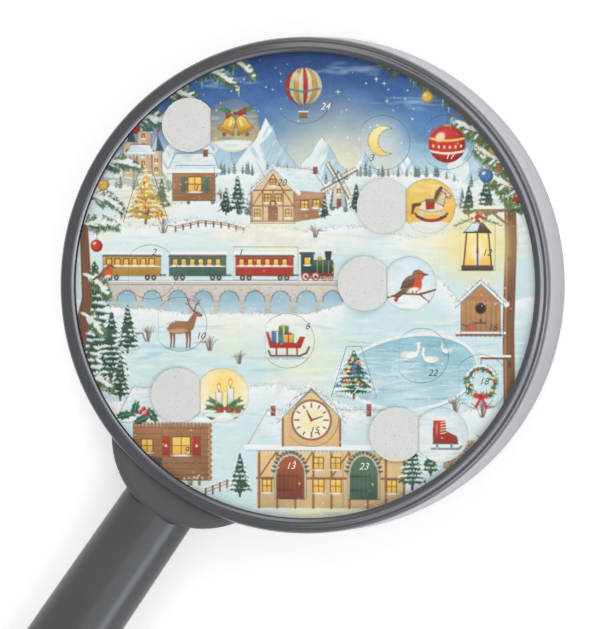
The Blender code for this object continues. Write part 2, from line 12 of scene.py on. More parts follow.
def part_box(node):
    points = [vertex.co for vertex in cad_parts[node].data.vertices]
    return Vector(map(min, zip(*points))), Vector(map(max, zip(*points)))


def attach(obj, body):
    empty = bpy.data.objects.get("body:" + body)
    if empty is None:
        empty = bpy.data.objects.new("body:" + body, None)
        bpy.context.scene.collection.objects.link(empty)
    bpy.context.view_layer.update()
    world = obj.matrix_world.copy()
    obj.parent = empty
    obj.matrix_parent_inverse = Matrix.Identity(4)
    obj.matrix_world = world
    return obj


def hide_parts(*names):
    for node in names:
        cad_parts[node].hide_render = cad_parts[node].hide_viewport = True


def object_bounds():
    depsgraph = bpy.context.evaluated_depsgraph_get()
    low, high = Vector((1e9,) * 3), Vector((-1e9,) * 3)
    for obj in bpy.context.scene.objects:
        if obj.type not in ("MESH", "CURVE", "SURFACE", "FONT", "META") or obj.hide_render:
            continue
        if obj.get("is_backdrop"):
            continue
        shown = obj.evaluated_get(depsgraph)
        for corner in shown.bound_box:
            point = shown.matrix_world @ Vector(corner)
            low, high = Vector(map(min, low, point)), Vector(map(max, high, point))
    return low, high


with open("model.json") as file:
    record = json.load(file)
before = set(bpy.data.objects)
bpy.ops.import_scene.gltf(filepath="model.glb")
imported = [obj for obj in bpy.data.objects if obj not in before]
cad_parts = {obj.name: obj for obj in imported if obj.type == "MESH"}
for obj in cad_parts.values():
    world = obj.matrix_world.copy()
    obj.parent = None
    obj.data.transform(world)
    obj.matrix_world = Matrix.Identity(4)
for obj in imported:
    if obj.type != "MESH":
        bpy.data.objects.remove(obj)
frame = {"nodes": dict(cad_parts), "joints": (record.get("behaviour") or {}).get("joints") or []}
cad_low, cad_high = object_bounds()
nodes = frame["nodes"]


# Camera, table and light
# The calendar lies on its back on a white table. The camera hangs above it on a long lens, nine
# degrees to the right of the ring's axis and one towards the picture's top.

ring_low, ring_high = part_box("ring_housing")
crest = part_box("bezel_ring")[1].z
ring_middle = (ring_low + ring_high) / 2
lip_centre = Vector((ring_middle.x, ring_middle.y, crest))
lean_right, lean_up = math.radians(9.33), math.radians(0.95)
towards_camera = Vector((math.tan(lean_right), math.tan(lean_up), 1)).normalized()
image_right = Vector((0, 1, 0)).cross(towards_camera).normalized()
image_up = towards_camera.cross(image_right)
camera_distance = 2.6
pixels_for_each_mm, picture_height = 2.186, 629
pixel = 0.001 / pixels_for_each_mm
aimed_left_px, aimed_below_px = 6.1, 29.1
aimed_at = lip_centre - image_right * (aimed_left_px * pixel) - image_up * (aimed_below_px * pixel)


def set_down(name, data):
    """A new object in the scene, made of the data given."""
    item = bpy.data.objects.new(name, data)
    bpy.context.scene.collection.objects.link(item)
    return item


camera_data = bpy.data.cameras.new("camera")
camera_data.sensor_width = 36
camera_data.lens = 36 * camera_distance / (picture_height * pixel)
camera_data.clip_start, camera_data.clip_end = 0.05, 50
camera = set_down("camera", camera_data)
camera.matrix_world = Matrix.Translation(aimed_at + towards_camera * camera_distance) @ Matrix(
    (image_right, image_up, towards_camera)
).transposed().to_4x4()
bpy.context.scene.camera = camera
bpy.context.scene.view_settings.view_transform = "Standard"


def add(tree, kind, settings=None, **inputs):
    """A new shader node, with its settings and the values of its inputs given by name."""
    node = tree.nodes.new(kind)
    for name, value in (settings or {}).items():
        setattr(node, name, value)
    for name, value in inputs.items():
        node.inputs[name.replace("_", " ")].default_value = value
    return node


def wire(tree, *pairs):
    """Joins sockets, each pair given as an output and an input."""
    for output, target in pairs:
        tree.links.new(output, target)


def sum_of(tree, operation, first, second):
    """A maths node on two inputs, each a socket or a number, whose result is returned."""
    node = add(tree, "ShaderNodeMath", {"operation": operation})
    for socket, value in zip(node.inputs, (first, second)):
        if isinstance(value, (int, float)):
            socket.default_value = value
        else:
            tree.links.new(value, socket)
    return node.outputs[0]


def linear(red, green, blue):
    """A colour as it looks, on a scale of 0 to 255, in linear light with full opacity."""
    return tuple(
        c / 255 / 12.92 if c / 255 <= 0.04045 else ((c / 255 + 0.055) / 1.055) ** 2.4
        for c in (red, green, blue)
    ) + (1.0,)


def seen_directly(tree):
    """1 for rays that show the studio itself: straight to the camera, off gloss or through glass."""
    rays = add(tree, "ShaderNodeLightPath")
    direct = sum_of(tree, "MAXIMUM", rays.outputs["Is Camera Ray"], rays.outputs["Is Glossy Ray"])
    return sum_of(tree, "MAXIMUM", direct, rays.outputs["Is Transmission Ray"])


world = bpy.data.worlds.new("studio")
world.use_nodes = True
bpy.context.scene.world = world
tree = world.node_tree
level = add(tree, "ShaderNodeMapRange", To_Min=0.6, To_Max=1.0)
tint = add(tree, "ShaderNodeMix", {"data_type": "RGBA"})
tint.inputs[6].default_value, tint.inputs[7].default_value = (1, 1, 1, 1), (0.55, 0.57, 0.64, 1)
wire(
    tree, (add(tree, "ShaderNodeLightPath").outputs["Is Glossy Ray"], tint.inputs[0]),
    (tint.outputs[2], tree.nodes["Background"].inputs["Color"]),
    (seen_directly(tree), level.inputs["Value"]),
    (level.outputs["Result"], tree.nodes["Background"].inputs["Strength"]),
)

table_mesh = bpy.data.meshes.new("table_top")
reach = 4.0
table_corners = [(-reach, -reach, 0), (reach, -reach, 0), (reach, reach, 0), (-reach, reach, 0)]
table_mesh.from_pydata(table_corners, [], [(0, 1, 2, 3)])
table_top = set_down("table_top", table_mesh)
table_top.location.z = cad_low.z - 0.0002
table_top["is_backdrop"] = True
white_paper = bpy.data.materials.new("white_paper")
white_paper.use_nodes = True
tree = white_paper.node_tree
matte = tree.nodes["Principled BSDF"]
matte.inputs["Base Color"].default_value = (0.88, 0.88, 0.885, 1)
matte.inputs["Roughness"].default_value = 0.9
matte.inputs["Specular IOR Level"].default_value = 0.1
tint = add(tree, "ShaderNodeMix", {"data_type": "RGBA"})
tint.inputs[6].default_value, tint.inputs[7].default_value = (1, 1, 1, 1), (0.84, 0.88, 1.0, 1)
wire(
    tree, (add(tree, "ShaderNodeLightPath").outputs["Is Glossy Ray"], tint.inputs[0]),
    (tint.outputs[2], matte.inputs["Emission Color"]),
    (sum_of(tree, "MULTIPLY", seen_directly(tree), 0.42), matte.inputs["Emission Strength"]),
)
table_mesh.materials.append(white_paper)


def softbox(name, towards, distance, width, height, watts, tint):
    """An area lamp that stands in a direction from the ring and faces it."""
    data = bpy.data.lights.new(name, "AREA")
    data.shape = "RECTANGLE"
    data.size, data.size_y = width, height
    data.energy = watts
    data.color = tint
    lamp = set_down(name, data)
    direction = Vector(towards).normalized()
    lamp.location = ring_middle + direction * distance
    lamp.rotation_mode = "QUATERNION"
    lamp.rotation_quaternion = direction.to_track_quat("Z", "Y")
    return lamp


# the broad box and the low one stand at the lower right and draw the bright lines along the ring's
# bead and the handle, the card by the right wall lights the ring's shoulder there, and the key and
# the top box light the print
broad_box = softbox("broad_box", (0.473, -0.473, 0.743), 2.2, 3.4, 2.2, 40, (0.93, 0.96, 1.0))
low_box = softbox("low_box", (0.753, -0.589, 0.292), 1.6, 1.8, 0.5, 24, (0.75, 0.85, 1.0))
side_card = softbox("side_card", (0.819, 0.331, 0.47), 0.47, 0.6, 0.55, 3.4, (0.9, 0.94, 1.0))
softbox("top_box", (-0.05, 0.8, 0.8), 1.8, 0.7, 2.0, 9.7, (1.0, 0.99, 0.97))
key_box = softbox("key_box", (0.4, -0.4, 0.85), 2.4, 1.2, 1.2, 12, (1.0, 0.995, 0.98))
for lamp in (broad_box, low_box, side_card):
    lamp.visible_diffuse = False
key_box.visible_glossy = False


# Calendar card
# A round of half-millimetre board, printed in colour on its front. A steel rule has cut it round
# 24 doors, each left whole along one side, where a crease lets it turn.

doors = {}
for joint in frame["joints"]:
    number = int(joint["name"][-2:])
    hinge = Vector(joint["pos_m"])
    rest_turn = math.radians(-joint["range_deg"][0]) if joint["range_deg"][0] < -90 else 0.0
    axis = Vector(joint["axis"])
    shut = Matrix.Translation(hinge) @ Matrix.Rotation(-rest_turn, 4, axis) @ Matrix.Translation(-hinge)
    doors[number] = {
        "body": joint["child"], "hinge": hinge, "axis": axis, "rest_turn": rest_turn, "shut": shut,
        "outward": axis.cross(Vector((0, 0, 1))) * -1,
    }


def outlines(node_name, height, placing=Matrix.Identity(4)):
    """The closed outlines of a node's flat face at one height, in millimetres, longest first."""
    mesh = nodes[node_name].data
    points = [placing @ v.co for v in mesh.vertices]
    keys = [(round(p.x * 1e6), round(p.y * 1e6)) for p in points]
    sides = {}
    for face in mesh.polygons:
        if all(abs(points[i].z - height) < 5e-6 for i in face.vertices):
            ring = [keys[i] for i in face.vertices]
            for pair in zip(ring, ring[1:] + ring[:1]):
                if pair[0] != pair[1]:
                    sides[pair] = sides.get(pair, 0) + 1
    follows = {a: b for a, b in sides if (b, a) not in sides}
    loops = []
    while follows:
        start, here = next(iter(follows.items()))
        loop = [start]
        del follows[start]
        while here != start:
            loop.append(here)
            here = follows.pop(here)
        loops.append(np.array(loop, float) * 1e-3)
    return sorted(loops, key=lambda loop: -np.ptp(loop, axis=0).sum())


def refined(loop, spacing):
    """The same outline with points no further apart than the spacing."""
    out = []
    for a, b in zip(loop, np.roll(loop, -1, axis=0)):
        count = max(1, math.ceil(np.hypot(*(b - a)) / spacing))
        out += [a + (b - a) * step / count for step in range(count)]
    return np.array(out)


def inside(loop, x, y):
    """Which points lie inside an outline."""
    found = np.zeros(np.shape(x), bool)
    for (ax, ay), (bx, by) in zip(loop, np.roll(loop, -1, axis=0)):
        if ay != by:
            found ^= ((ay > y) != (by > y)) & (x < ax + (y - ay) * (bx - ax) / (by - ay))
    return found


def edge_distance(loop, x, y):
    """How far points lie from an outline."""
    best = np.full(np.shape(x), 1e9)
    for a, b in zip(loop, np.roll(loop, -1, axis=0)):
        run = b - a
        share = np.clip(((x - a[0]) * run[0] + (y - a[1]) * run[1]) / max(run @ run, 1e-12), 0, 1)
        best = np.minimum(best, np.hypot(x - a[0] - share * run[0], y - a[1] - share * run[1]))
    return best


def grid(low, high, spacing):
    """Points of a triangular grid over a rectangle."""
    rows = np.arange(low[1], high[1], spacing * 0.866)
    columns = np.arange(low[0], high[0], spacing)
    x, y = np.meshgrid(columns, rows)
    x[1::2] += spacing / 2
    return x.ravel(), y.ravel()


def fill_in(loops, x, y):
    """Triangles over the area between outlines, the first of which is the outer one."""
    points = np.concatenate([*loops, np.stack([x, y], 1)])
    edges, start = [], 0
    for loop in loops:
        count = len(loop)
        edges += [(start + i, start + (i + 1) % count) for i in range(count)]
        start += count
    made = delaunay_2d_cdt([Vector(p) for p in points], edges, [], 1, 1e-5)
    corners = np.array([v[:] for v in made[0]])
    triangles = np.array(made[2])
    middle = corners[triangles].mean(axis=1)
    keep = inside(loops[0], middle[:, 0], middle[:, 1])
    for loop in loops[1:]:
        near = np.abs(middle - loop.mean(axis=0)).max(axis=1) < np.ptp(loop, axis=0).max()
        keep[near] &= ~inside(loop, middle[near, 0], middle[near, 1])
    return corners, triangles[keep]


def sheet_solid(name, loops, x, y, front, back, back_loops=None):
    """A thin closed solid: a dense front, cut edges and a plain back. Plane sizes in millimetres.

    Its faces carry material 0 on the front, 1 on the cut edges and 2 on the back.
    """
    corners, triangles = fill_in(loops, x, y)
    front_count = len(corners)
    back_loops = back_loops or loops
    back_corners, back_triangles = fill_in(back_loops, np.zeros(0), np.zeros(0))
    points = np.concatenate([
        np.column_stack([corners, np.full(front_count, front)]),
        np.column_stack([back_corners, np.full(len(back_corners), back)]),
    ])
    faces = [tuple(t) for t in triangles]
    faces += [tuple(front_count + i for i in reversed(t)) for t in back_triangles]
    kinds = [0] * len(triangles) + [2] * len(back_triangles)
    start = 0
    for loop in loops:
        count = len(loop)
        for i in range(count):
            a, b = start + i, start + (i + 1) % count
            faces.append((a, front_count + a, front_count + b, b))
            kinds.append(1)
        start += count
    mesh = bpy.data.meshes.new(name)
    mesh.from_pydata((points * 0.001).tolist(), [], faces)
    mesh.polygons.foreach_set("material_index", kinds)
    shape = bmesh.new()
    shape.from_mesh(mesh)
    bmesh.ops.recalc_face_normals(shape, faces=shape.faces)
    shape.to_mesh(mesh)
    shape.free()
    mesh.shade_smooth()
    mesh.set_sharp_from_angle(angle=math.radians(40))
    return mesh


card_low, card_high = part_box("calendar_card")
card_front, card_back = card_high.z * 1000, card_low.z * 1000
print_spacing = 0.42
crease_gap = 0.03
kerf_left = 0.1

for number, door in doors.items():
    hinge = np.array(door["hinge"][:2]) * 1000
    outward = np.array(door["outward"][:2])
    leaf = outlines(f"door_{number:02d}", card_high.z, door["shut"])[0]
    middle, size = (leaf.min(axis=0) + leaf.max(axis=0)) / 2, np.ptp(leaf, axis=0)
    leaf = middle + (leaf - middle) * (1 + 2 * kerf_left / size)
    run = (leaf - hinge) @ outward
    leaf = leaf + np.outer(np.where(run < 0.2, crease_gap - run, 0), outward)
    door["leaf"] = leaf
    door["hinge_mm"], door["outward_mm"] = hinge, outward
    door["centre"] = middle

card_loops = outlines("calendar_card", card_high.z)
for index, loop in enumerate(card_loops[1:], start=1):
    door = min(doors.values(), key=lambda d: np.hypot(*(d["centre"] - loop.mean(axis=0))))
    run = (loop - door["hinge_mm"]) @ door["outward_mm"]
    card_loops[index] = loop + np.outer(np.where(run < 0.1, -crease_gap - run, 0), door["outward_mm"])
    door["window"] = card_loops[index]
card_edge = card_loops[0]
rim_radius = np.hypot(*card_edge.T).max()
card_loops = [refined(loop, 0.5) for loop in card_loops]


# The picture on the card is painted here wash by wash. A sheet of numbers holds the colour of each
# small cell as it looks, from 0 to 255, and the card takes its print from the cells below it.

cell = 0.22
half_sheet = 110.0
side = int(2 * half_sheet / cell)
cell_places = (np.arange(side) + 0.5) * cell - half_sheet
across, up = (part.astype(np.float32) for part in np.meshgrid(cell_places, cell_places))
sheet = np.zeros((side, side, 3), np.float32)
glitter = np.zeros((side, side), np.float32)
chance = np.random.default_rng(24)
# the place on the sheet that the brushes count from, in millimetres
origin = np.zeros(2)


def cloud(size, stretch=1.0, seed=0):
    """An even, smooth unrest over the sheet from -1 to 1, with patches of a size in millimetres."""
    rows, columns = int(220 / size) + 3, int(220 / (size * stretch)) + 3
    knots = np.random.default_rng(seed).uniform(-1, 1, (rows, columns)).astype(np.float32)

    def eased(share, count):
        place = share * (count - 2.001)
        first = place.astype(int)
        part = place - first
        return first, (part * part * (3 - 2 * part)).astype(np.float32)

    share = np.arange(side) / side
    row, down = eased(share, rows)
    column, along = eased(share, columns)
    left, right = knots[:, column], knots[:, column + 1]
    lines = left + (right - left) * along
    return lines[row] + (lines[row + 1] - lines[row]) * down[:, None]


wash = cloud(9, 1.4, 1) * 0.5 + cloud(3.5, 1.6, 2) * 0.3 + cloud(1.2, 1.0, 3) * 0.2
tooth = cloud(0.55, 1.0, 4) * 0.6 + cloud(1.4, 2.5, 5) * 0.4


def part_of_sheet(low, high, margin=0.0):
    """The rows and columns that cover a rectangle, and the place of each cell there."""
    first = [int(min(max((v - margin + half_sheet) / cell, 0), side)) for v in low]
    last = [int(min(max((v + margin + half_sheet) / cell + 2, 0), side)) for v in high]
    where = slice(first[1], last[1]), slice(first[0], last[0])
    return where, across[where], up[where]


def lay(where, cover, colour):
    """Lays a colour over part of the sheet, as thickly as the cover says from 0 to 1."""
    sheet[where] += (np.asarray(colour, np.float32) - sheet[where]) * np.asarray(cover)[..., None]


def oblong(x0, y0, x1, y1):
    """The corners of a rectangle."""
    return [(x0, y0), (x1, y0), (x1, y1), (x0, y1)]


def toward(x, y, reach, turn):
    """The place at a distance from another, in a direction."""
    return x + reach * math.cos(turn), y + reach * math.sin(turn)


def curve(centre, radii, start, end, steps=18):
    """Points along an oval between two turns, in radians."""
    return [
        (centre[0] + radii[0] * math.cos(t), centre[1] + radii[1] * math.sin(t))
        for t in np.linspace(start, end, steps)
    ]


def spun(points, x, y, size=1.0, turn=0.0):
    """Points of a small shape, scaled, turned and set down at a place."""
    cosine, sine = math.cos(turn), math.sin(turn)
    return [(x + size * (u * cosine - v * sine), y + size * (u * sine + v * cosine)) for u, v in points]


def fill(outline, colour, lower=None, cover=1.0, uneven=9.0):
    """Fills an outline with a wash, which may turn to another colour towards its lower edge."""
    outline = np.array(outline, float) + origin
    low, high = outline.min(axis=0), outline.max(axis=0)
    where, x, y = part_of_sheet(low, high)
    if not x.size:
        return
    paint = np.array(colour, float) + wash[where][..., None] * uneven
    if lower is not None:
        fall = np.clip((high[1] - y) / max(high[1] - low[1], 1e-6), 0, 1)[..., None]
        paint = paint + (np.array(lower, float) - np.array(colour, float)) * fall
    lay(where, inside(outline, x, y) * cover, paint)


def line(points, width, colour, cover=1.0):
    """A brush line through points, of one width or of one for each point."""
    points = np.array(points, float) + origin
    widths = np.broadcast_to(np.asarray(width, float), len(points))
    for a, b, wide, wide_next in zip(points, points[1:], widths, widths[1:]):
        where, x, y = part_of_sheet(np.minimum(a, b), np.maximum(a, b), max(wide, wide_next) / 2 + cell)
        if not x.size:
            continue
        run = b - a
        share = np.clip(((x - a[0]) * run[0] + (y - a[1]) * run[1]) / max(run @ run, 1e-9), 0, 1)
        away = np.hypot(x - a[0] - share * run[0], y - a[1] - share * run[1])
        reach = (wide + (wide_next - wide) * share) / 2
        lay(where, np.clip((reach - away) / cell + 0.5, 0, 1) * cover, colour)


def pencil(points, shut=False, cover=0.6):
    """A thin dark line that shakes a little, as drawn by hand."""
    points = np.array(list(points) + ([points[0]] if shut else []), float)
    points = points + chance.normal(0, 0.09, points.shape)
    line(points, chance.uniform(0.2, 0.38, len(points)), (72, 66, 68), cover)


def dab(x0, y0, wide, high, colour, cover=1.0, turn=0.0, soft=0.0):
    """An oval dab of paint. Soft spreads its edge over a share of its size."""
    x0, y0 = origin + (x0, y0)
    reach = max(wide, high) / 2 * (1 + soft)
    where, x, y = part_of_sheet((x0 - reach, y0 - reach), (x0 + reach, y0 + reach), cell)
    if not x.size:
        return
    cosine, sine = math.cos(turn), math.sin(turn)
    u = ((x - x0) * cosine + (y - y0) * sine) / (wide / 2)
    v = ((y - y0) * cosine - (x - x0) * sine) / (high / 2)
    edge = max(soft, 2 * cell / min(wide, high))
    lay(where, np.clip((1 + edge / 2 - np.hypot(u, v)) / edge, 0, 1) * cover, colour)


def glow(x0, y0, radius, colour, cover=1.0):
    """A light that fades away from its middle."""
    x0, y0 = origin + (x0, y0)
    where, x, y = part_of_sheet((x0 - radius, y0 - radius), (x0 + radius, y0 + radius))
    if x.size:
        away = ((x - x0) ** 2 + (y - y0) ** 2) / radius ** 2
        lay(where, np.clip(1 - away, 0, 1) ** 2 * cover, colour)


def bank(crest, colour, shade, depth, roughness, seed):
    """A bank of snow below a crest line: bright along the crest, shaded further down."""
    crest = np.array(crest, float)
    line_up = np.interp(cell_places, crest[:, 0], crest[:, 1])
    line_up = line_up + (cloud(7, 1.0, seed)[0] + 0.4 * cloud(2, 1.0, seed + 1)[0]) * roughness
    where, x, y = part_of_sheet((-half_sheet, -half_sheet), (half_sheet, crest[:, 1].max() + 3))
    below = line_up[None, :].astype(np.float32) - y
    fall = np.clip(below / depth + wash[where] * 0.28, 0, 1)[..., None] ** 0.8
    paint = np.array(colour) + (np.array(shade) - np.array(colour)) * fall
    lay(where, np.clip(below / cell + 0.5, 0, 1), paint)
    return np.column_stack([cell_places, line_up])


def drift(x0, x1, y0, y1, count, colours, long=9.0, thick=1.1, cover=0.5, tilt=0.0):
    """Loose flat strokes over a rectangle, for shadows and light on snow or ice."""
    for _ in range(count):
        colour = colours[chance.integers(len(colours))]
        dab(
            chance.uniform(x0, x1), chance.uniform(y0, y1), long * chance.uniform(0.5, 1.5),
            thick * chance.uniform(0.5, 1.5), colour, cover * chance.uniform(0.5, 1.1),
            tilt + chance.normal(0, 0.07), 0.7,
        )


def sparkle_along(points, width=2.2, amount=3.0):
    """Strews glitter along a line, amount grains for each millimetre."""
    points = np.array(points, float)
    for a, b in zip(points, points[1:]):
        run = b - a
        length = np.hypot(*run)
        for _ in range(chance.poisson(length * amount)):
            spot = a + run * chance.uniform() + chance.normal(0, width / 3, 2)
            where, x, y = part_of_sheet(spot, spot, 0.4)
            if x.size:
                grain = np.clip(1.5 - np.hypot(x - spot[0], y - spot[1]) / 0.26, 0, 1)
                glitter[where] = np.maximum(glitter[where], grain)
                lay(where, grain * chance.uniform(0.15, 0.6), (150, 154, 160))


# Firs, houses and other things that stand in the picture more than once

snow, cream, lamp_yellow = (246, 248, 246), (250, 243, 212), (246, 214, 112)
aqua, deep_aqua = (190, 224, 228), (140, 190, 206)
timber, dark_timber = (158, 110, 78), (104, 74, 60)
red, fir_green = (205, 70, 56), (84, 118, 86)


def fir(x, base, height, green=fir_green, snowy=0.8, spread=0.5):
    """A fir of ragged tiers, with snow on their upper edges."""
    tiers = int(min(max(height / 2.4, 4), 12))
    line([(x, base - height * 0.05), (x, base + height * 0.25)], height * 0.05, dark_timber)
    for tier in range(tiers):
        share = tier / tiers
        foot = base + height * (0.05 + 0.86 * share)
        rise = height * (1.55 / tiers) * (1.1 - 0.4 * share)
        half = height * spread / 2 * (1 - share) ** 0.9 + height * 0.02
        count = max(int(half * 1.6), 3)
        edge = []
        for i, t in enumerate(np.linspace(-1, 1, 2 * count + 1)):
            hem = foot + rise * 0.28 * abs(t) + chance.uniform(-0.12, 0.12) * rise - (i % 2) * rise * 0.13
            edge.append((x + half * t, hem))
        tint = np.array(green) * chance.uniform(0.82, 1.12)
        fill(edge + [(x + half * 0.12, foot + rise), (x - half * 0.12, foot + rise)], tint, tint * 0.72)
        for _ in range(int(half * 2.2)):
            t = chance.uniform(-1, 1)
            spot = (x + half * t, foot + rise * (0.32 + 0.3 * (1 - abs(t))))
            end = (spot[0] + t * 0.7, spot[1] - rise * 0.3)
            line([spot, end], (0.4, 0.12), np.array(green) * chance.uniform(0.6, 1.35), 0.8)
        if chance.uniform() < snowy + 0.25:
            for t in np.linspace(-0.92, 0.92, max(int(half * 1.1), 3)):
                if chance.uniform() < snowy:
                    dab(
                        x + half * t, foot + rise * (0.36 + 0.24 * (1 - abs(t))), half * 0.42 + 0.5,
                        rise * 0.26, snow, 0.95, -0.5 * t, 0.35,
                    )
                    dab(
                        x + half * t, foot + rise * (0.24 + 0.22 * (1 - abs(t))), half * 0.4 + 0.4,
                        rise * 0.12, aqua, 0.7, -0.5 * t, 0.5,
                    )


def far_firs(x0, x1, ground, count, height, colour=(122, 140, 138)):
    """A row of small firs far off, each no more than a few strokes."""
    ground = np.array(ground, float)
    for x in chance.uniform(x0, x1, count):
        tall = height * chance.uniform(0.6, 1.3)
        foot = np.interp(x, ground[:, 0], ground[:, 1]) - 0.4
        tint = np.array(colour) * chance.uniform(0.8, 1.2)
        line([(x, foot), (x, foot + tall)], (tall * 0.34, 0.15), tint, 0.85)
        for share in (0.2, 0.45, 0.7):
            half = tall * 0.22 * (1 - share)
            y = foot + tall * share
            line([(x - half, y - 0.25), (x, y + 0.35), (x + half, y - 0.25)], 0.32, tint * 0.8, 0.9)
            dab(x - half * 0.5, y + 0.3, half, 0.35, snow, 0.8)


def window(x, y, wide, high, frame_colour=dark_timber, bars=True):
    """A lit window with its frame and bars, given by its middle."""
    box = oblong(x - wide / 2, y - high / 2, x + wide / 2, y + high / 2)
    fill(box, lamp_yellow, np.array(lamp_yellow) * (1.0, 0.86, 0.72), uneven=14)
    if bars:
        line([(x, y - high / 2), (x, y + high / 2)], 0.3, frame_colour)
        line([(x - wide / 2, y), (x + wide / 2, y)], 0.3, frame_colour)
    line(box + box[:1], 0.42, frame_colour)
    dab(x, y - high / 2 - 0.3, wide + 1, 0.8, snow)


def snow_roof(points, thick=1.6, eaves=True):
    """A roof face under snow, outline given, with a shaded lower edge and glitter along its ridge."""
    fill(points, snow, (214, 232, 236), uneven=6)
    points = np.array(points, float)
    low, high = points.min(axis=0), points.max(axis=0)
    for _ in range(int((high[0] - low[0]) * (high[1] - low[1]) / 16) + 2):
        spot = chance.uniform(low, high)
        if inside(points, spot[0], spot[1]):
            dab(
                *spot, chance.uniform(2, 6), chance.uniform(0.5, 1.2), aqua, 0.45,
                chance.normal(0, 0.15), 0.7,
            )
    pencil(points, True, 0.45)
    if eaves:
        order = points[np.argsort(points[:, 1])]
        a, b = sorted(order[:2].tolist())
        line([a, b], thick, snow)
        line([(a[0], a[1] - thick * 0.55), (b[0], b[1] - thick * 0.55)], 0.5, deep_aqua, 0.8)
        for x in np.arange(a[0] + 0.6, b[0], 1.7):
            y = np.interp(x, (a[0], b[0]), (a[1], b[1])) - thick * 0.5
            drop = chance.uniform(0.6, 2.4)
            line([(x, y), (x + 0.1, y - drop)], (0.42, 0.12), (226, 240, 244), 0.9)


def chimney(x, y, high):
    """A brick chimney, with its snow cap and a loose plume."""
    fill(oblong(x - 1.1, y, x + 1.1, y + high), (172, 104, 84), (140, 84, 70))
    for step in np.arange(0.7, high, 0.8):
        line([(x - 1.1, y + step), (x + 1.1, y + step)], 0.16, (110, 72, 64), 0.6)
    dab(x, y + high + 0.3, 3.0, 1.3, snow)
    for step in range(9):
        dab(
            x + 0.5 + step * 0.55 + chance.normal(0, 0.3), y + high + 1.6 + step * 1.15,
            1.4 + step * 0.42, 1.1 + step * 0.3, (222, 226, 228), 0.34, 0.4, 0.8,
        )


def planks(x0, x1, y0, y1, colour, gap=1.5, upright=True):
    """A boarded wall."""
    fill(oblong(x0, y0, x1, y1), colour, np.array(colour) * 0.86, uneven=12)
    start, end = (x0, x1) if upright else (y0, y1)
    for place in np.arange(start + gap, end, gap):
        run = [(place, y0), (place, y1)] if upright else [(x0, place), (x1, place)]
        pencil(run, cover=0.45)


def bauble(x, y, radius, colour, hang=3.0):
    """A glass ball on a thread."""
    line([(x, y + radius), (x + 0.2, y + radius + hang)], 0.22, (90, 84, 80), 0.8)
    dab(x, y, radius * 2, radius * 2, np.array(colour) * 0.72)
    dab(x - radius * 0.12, y + radius * 0.14, radius * 1.7, radius * 1.7, colour, 1, 0, 0.35)
    dab(x - radius * 0.38, y + radius * 0.4, radius * 0.6, radius * 0.45, (255, 240, 226), 0.9, 0.7, 0.5)
    dab(x, y + radius + 0.25, radius * 0.45, 0.8, (206, 170, 90))


def bough(x, y, turn, length, snowy, green):
    """A fir bough that hangs into the picture: wood, sprays of needles, snow and icicles."""
    spots = [toward(x, y, length * step, turn - 0.5 * step) for step in np.linspace(0, 1, 9)]
    line(spots, np.linspace(1.5, 0.35, 9), (120, 82, 58))
    pencil(spots, cover=0.5)
    for step in range(int(length * 2.6)):
        share = chance.uniform(0.05, 1)
        at = np.array([np.interp(share * 8, range(9), [s[k] for s in spots]) for k in (0, 1)])
        lead = turn - 0.5 * share + chance.choice((-1, 1)) * chance.uniform(0.3, 0.9)
        twig = length * 0.26 * (1.15 - share) + 1.2
        tip = at + twig * np.array([math.cos(lead), math.sin(lead)])
        line([at, tip], (0.4, 0.2), (110, 84, 56), 0.8)
        for needle in np.linspace(0.1, 1, int(twig * 1.9) + 2):
            root = at + (tip - at) * needle
            for way in (-1, 1):
                aim = lead + way * chance.uniform(0.4, 0.8)
                reach = chance.uniform(0.9, 1.7)
                end = root + reach * np.array([math.cos(aim), math.sin(aim) - 0.25])
                tint = np.array(green) * chance.uniform(0.5, 1.45)
                line([root, end], (0.34, 0.14), tint, 0.85)
        if chance.uniform() < snowy * 0.6:
            middle = (at + tip) / 2
            dab(middle[0], middle[1] + 0.7, twig * 0.8, 1.3, snow, 0.95, lead, 0.4)
            dab(middle[0], middle[1] + 0.1, twig * 0.7, 0.4, aqua, 0.7, lead, 0.5)
        if chance.uniform() < 0.16:
            line([tip, tip - (0, chance.uniform(1.5, 4.5))], (0.55, 0.12), (222, 238, 242), 0.9)
    for share in np.linspace(0.1, 0.85, int(length / 3) + 1):
        at = [np.interp(share * 8, range(9), [s[k] for s in spots]) for k in (0, 1)]
        dab(at[0], at[1] + 1.0, 4.2, 1.6, snow, 0.9, turn - 0.5 * share, 0.4)


def bare_bush(x, y, height):
    """Leafless twigs with a little snow."""
    for _ in range(int(5 + height)):
        lean = chance.normal(0, 0.45)
        top = (x + math.sin(lean) * height, y + math.cos(lean) * height * chance.uniform(0.7, 1.1))
        middle = (x + math.sin(lean) * height * 0.4, y + height * 0.5)
        line([(x + lean, y), middle, top], (0.4, 0.28, 0.12), (126, 104, 92), 0.8)
        fork = (top[0] + chance.normal(0, 1.2), top[1] - height * 0.1)
        line([middle, fork], (0.25, 0.1), (126, 104, 92), 0.7)
        dab(top[0], top[1], 0.8, 0.5, snow, 0.8)


def rail_fence(points, height=3.4):
    """A post-and-rail fence with snow on its posts."""
    points = np.array(points, float)
    length = np.r_[0, np.cumsum(np.hypot(*np.diff(points, axis=0).T))]
    for share in (0.45, 0.8):
        line(points + (0, height * share), 0.5, timber, 0.9)
        line(points + (0, height * share + 0.35), 0.3, snow, 0.9)
    for place in np.arange(0, length[-1], 3.6):
        x, y = (np.interp(place, length, points[:, k]) for k in (0, 1))
        line([(x, y - 0.3), (x, y + height)], 0.75, dark_timber, 0.9)
        dab(x, y + height + 0.15, 1.5, 0.8, snow)


# Sky, moon and stars, with a balloon for the largest door

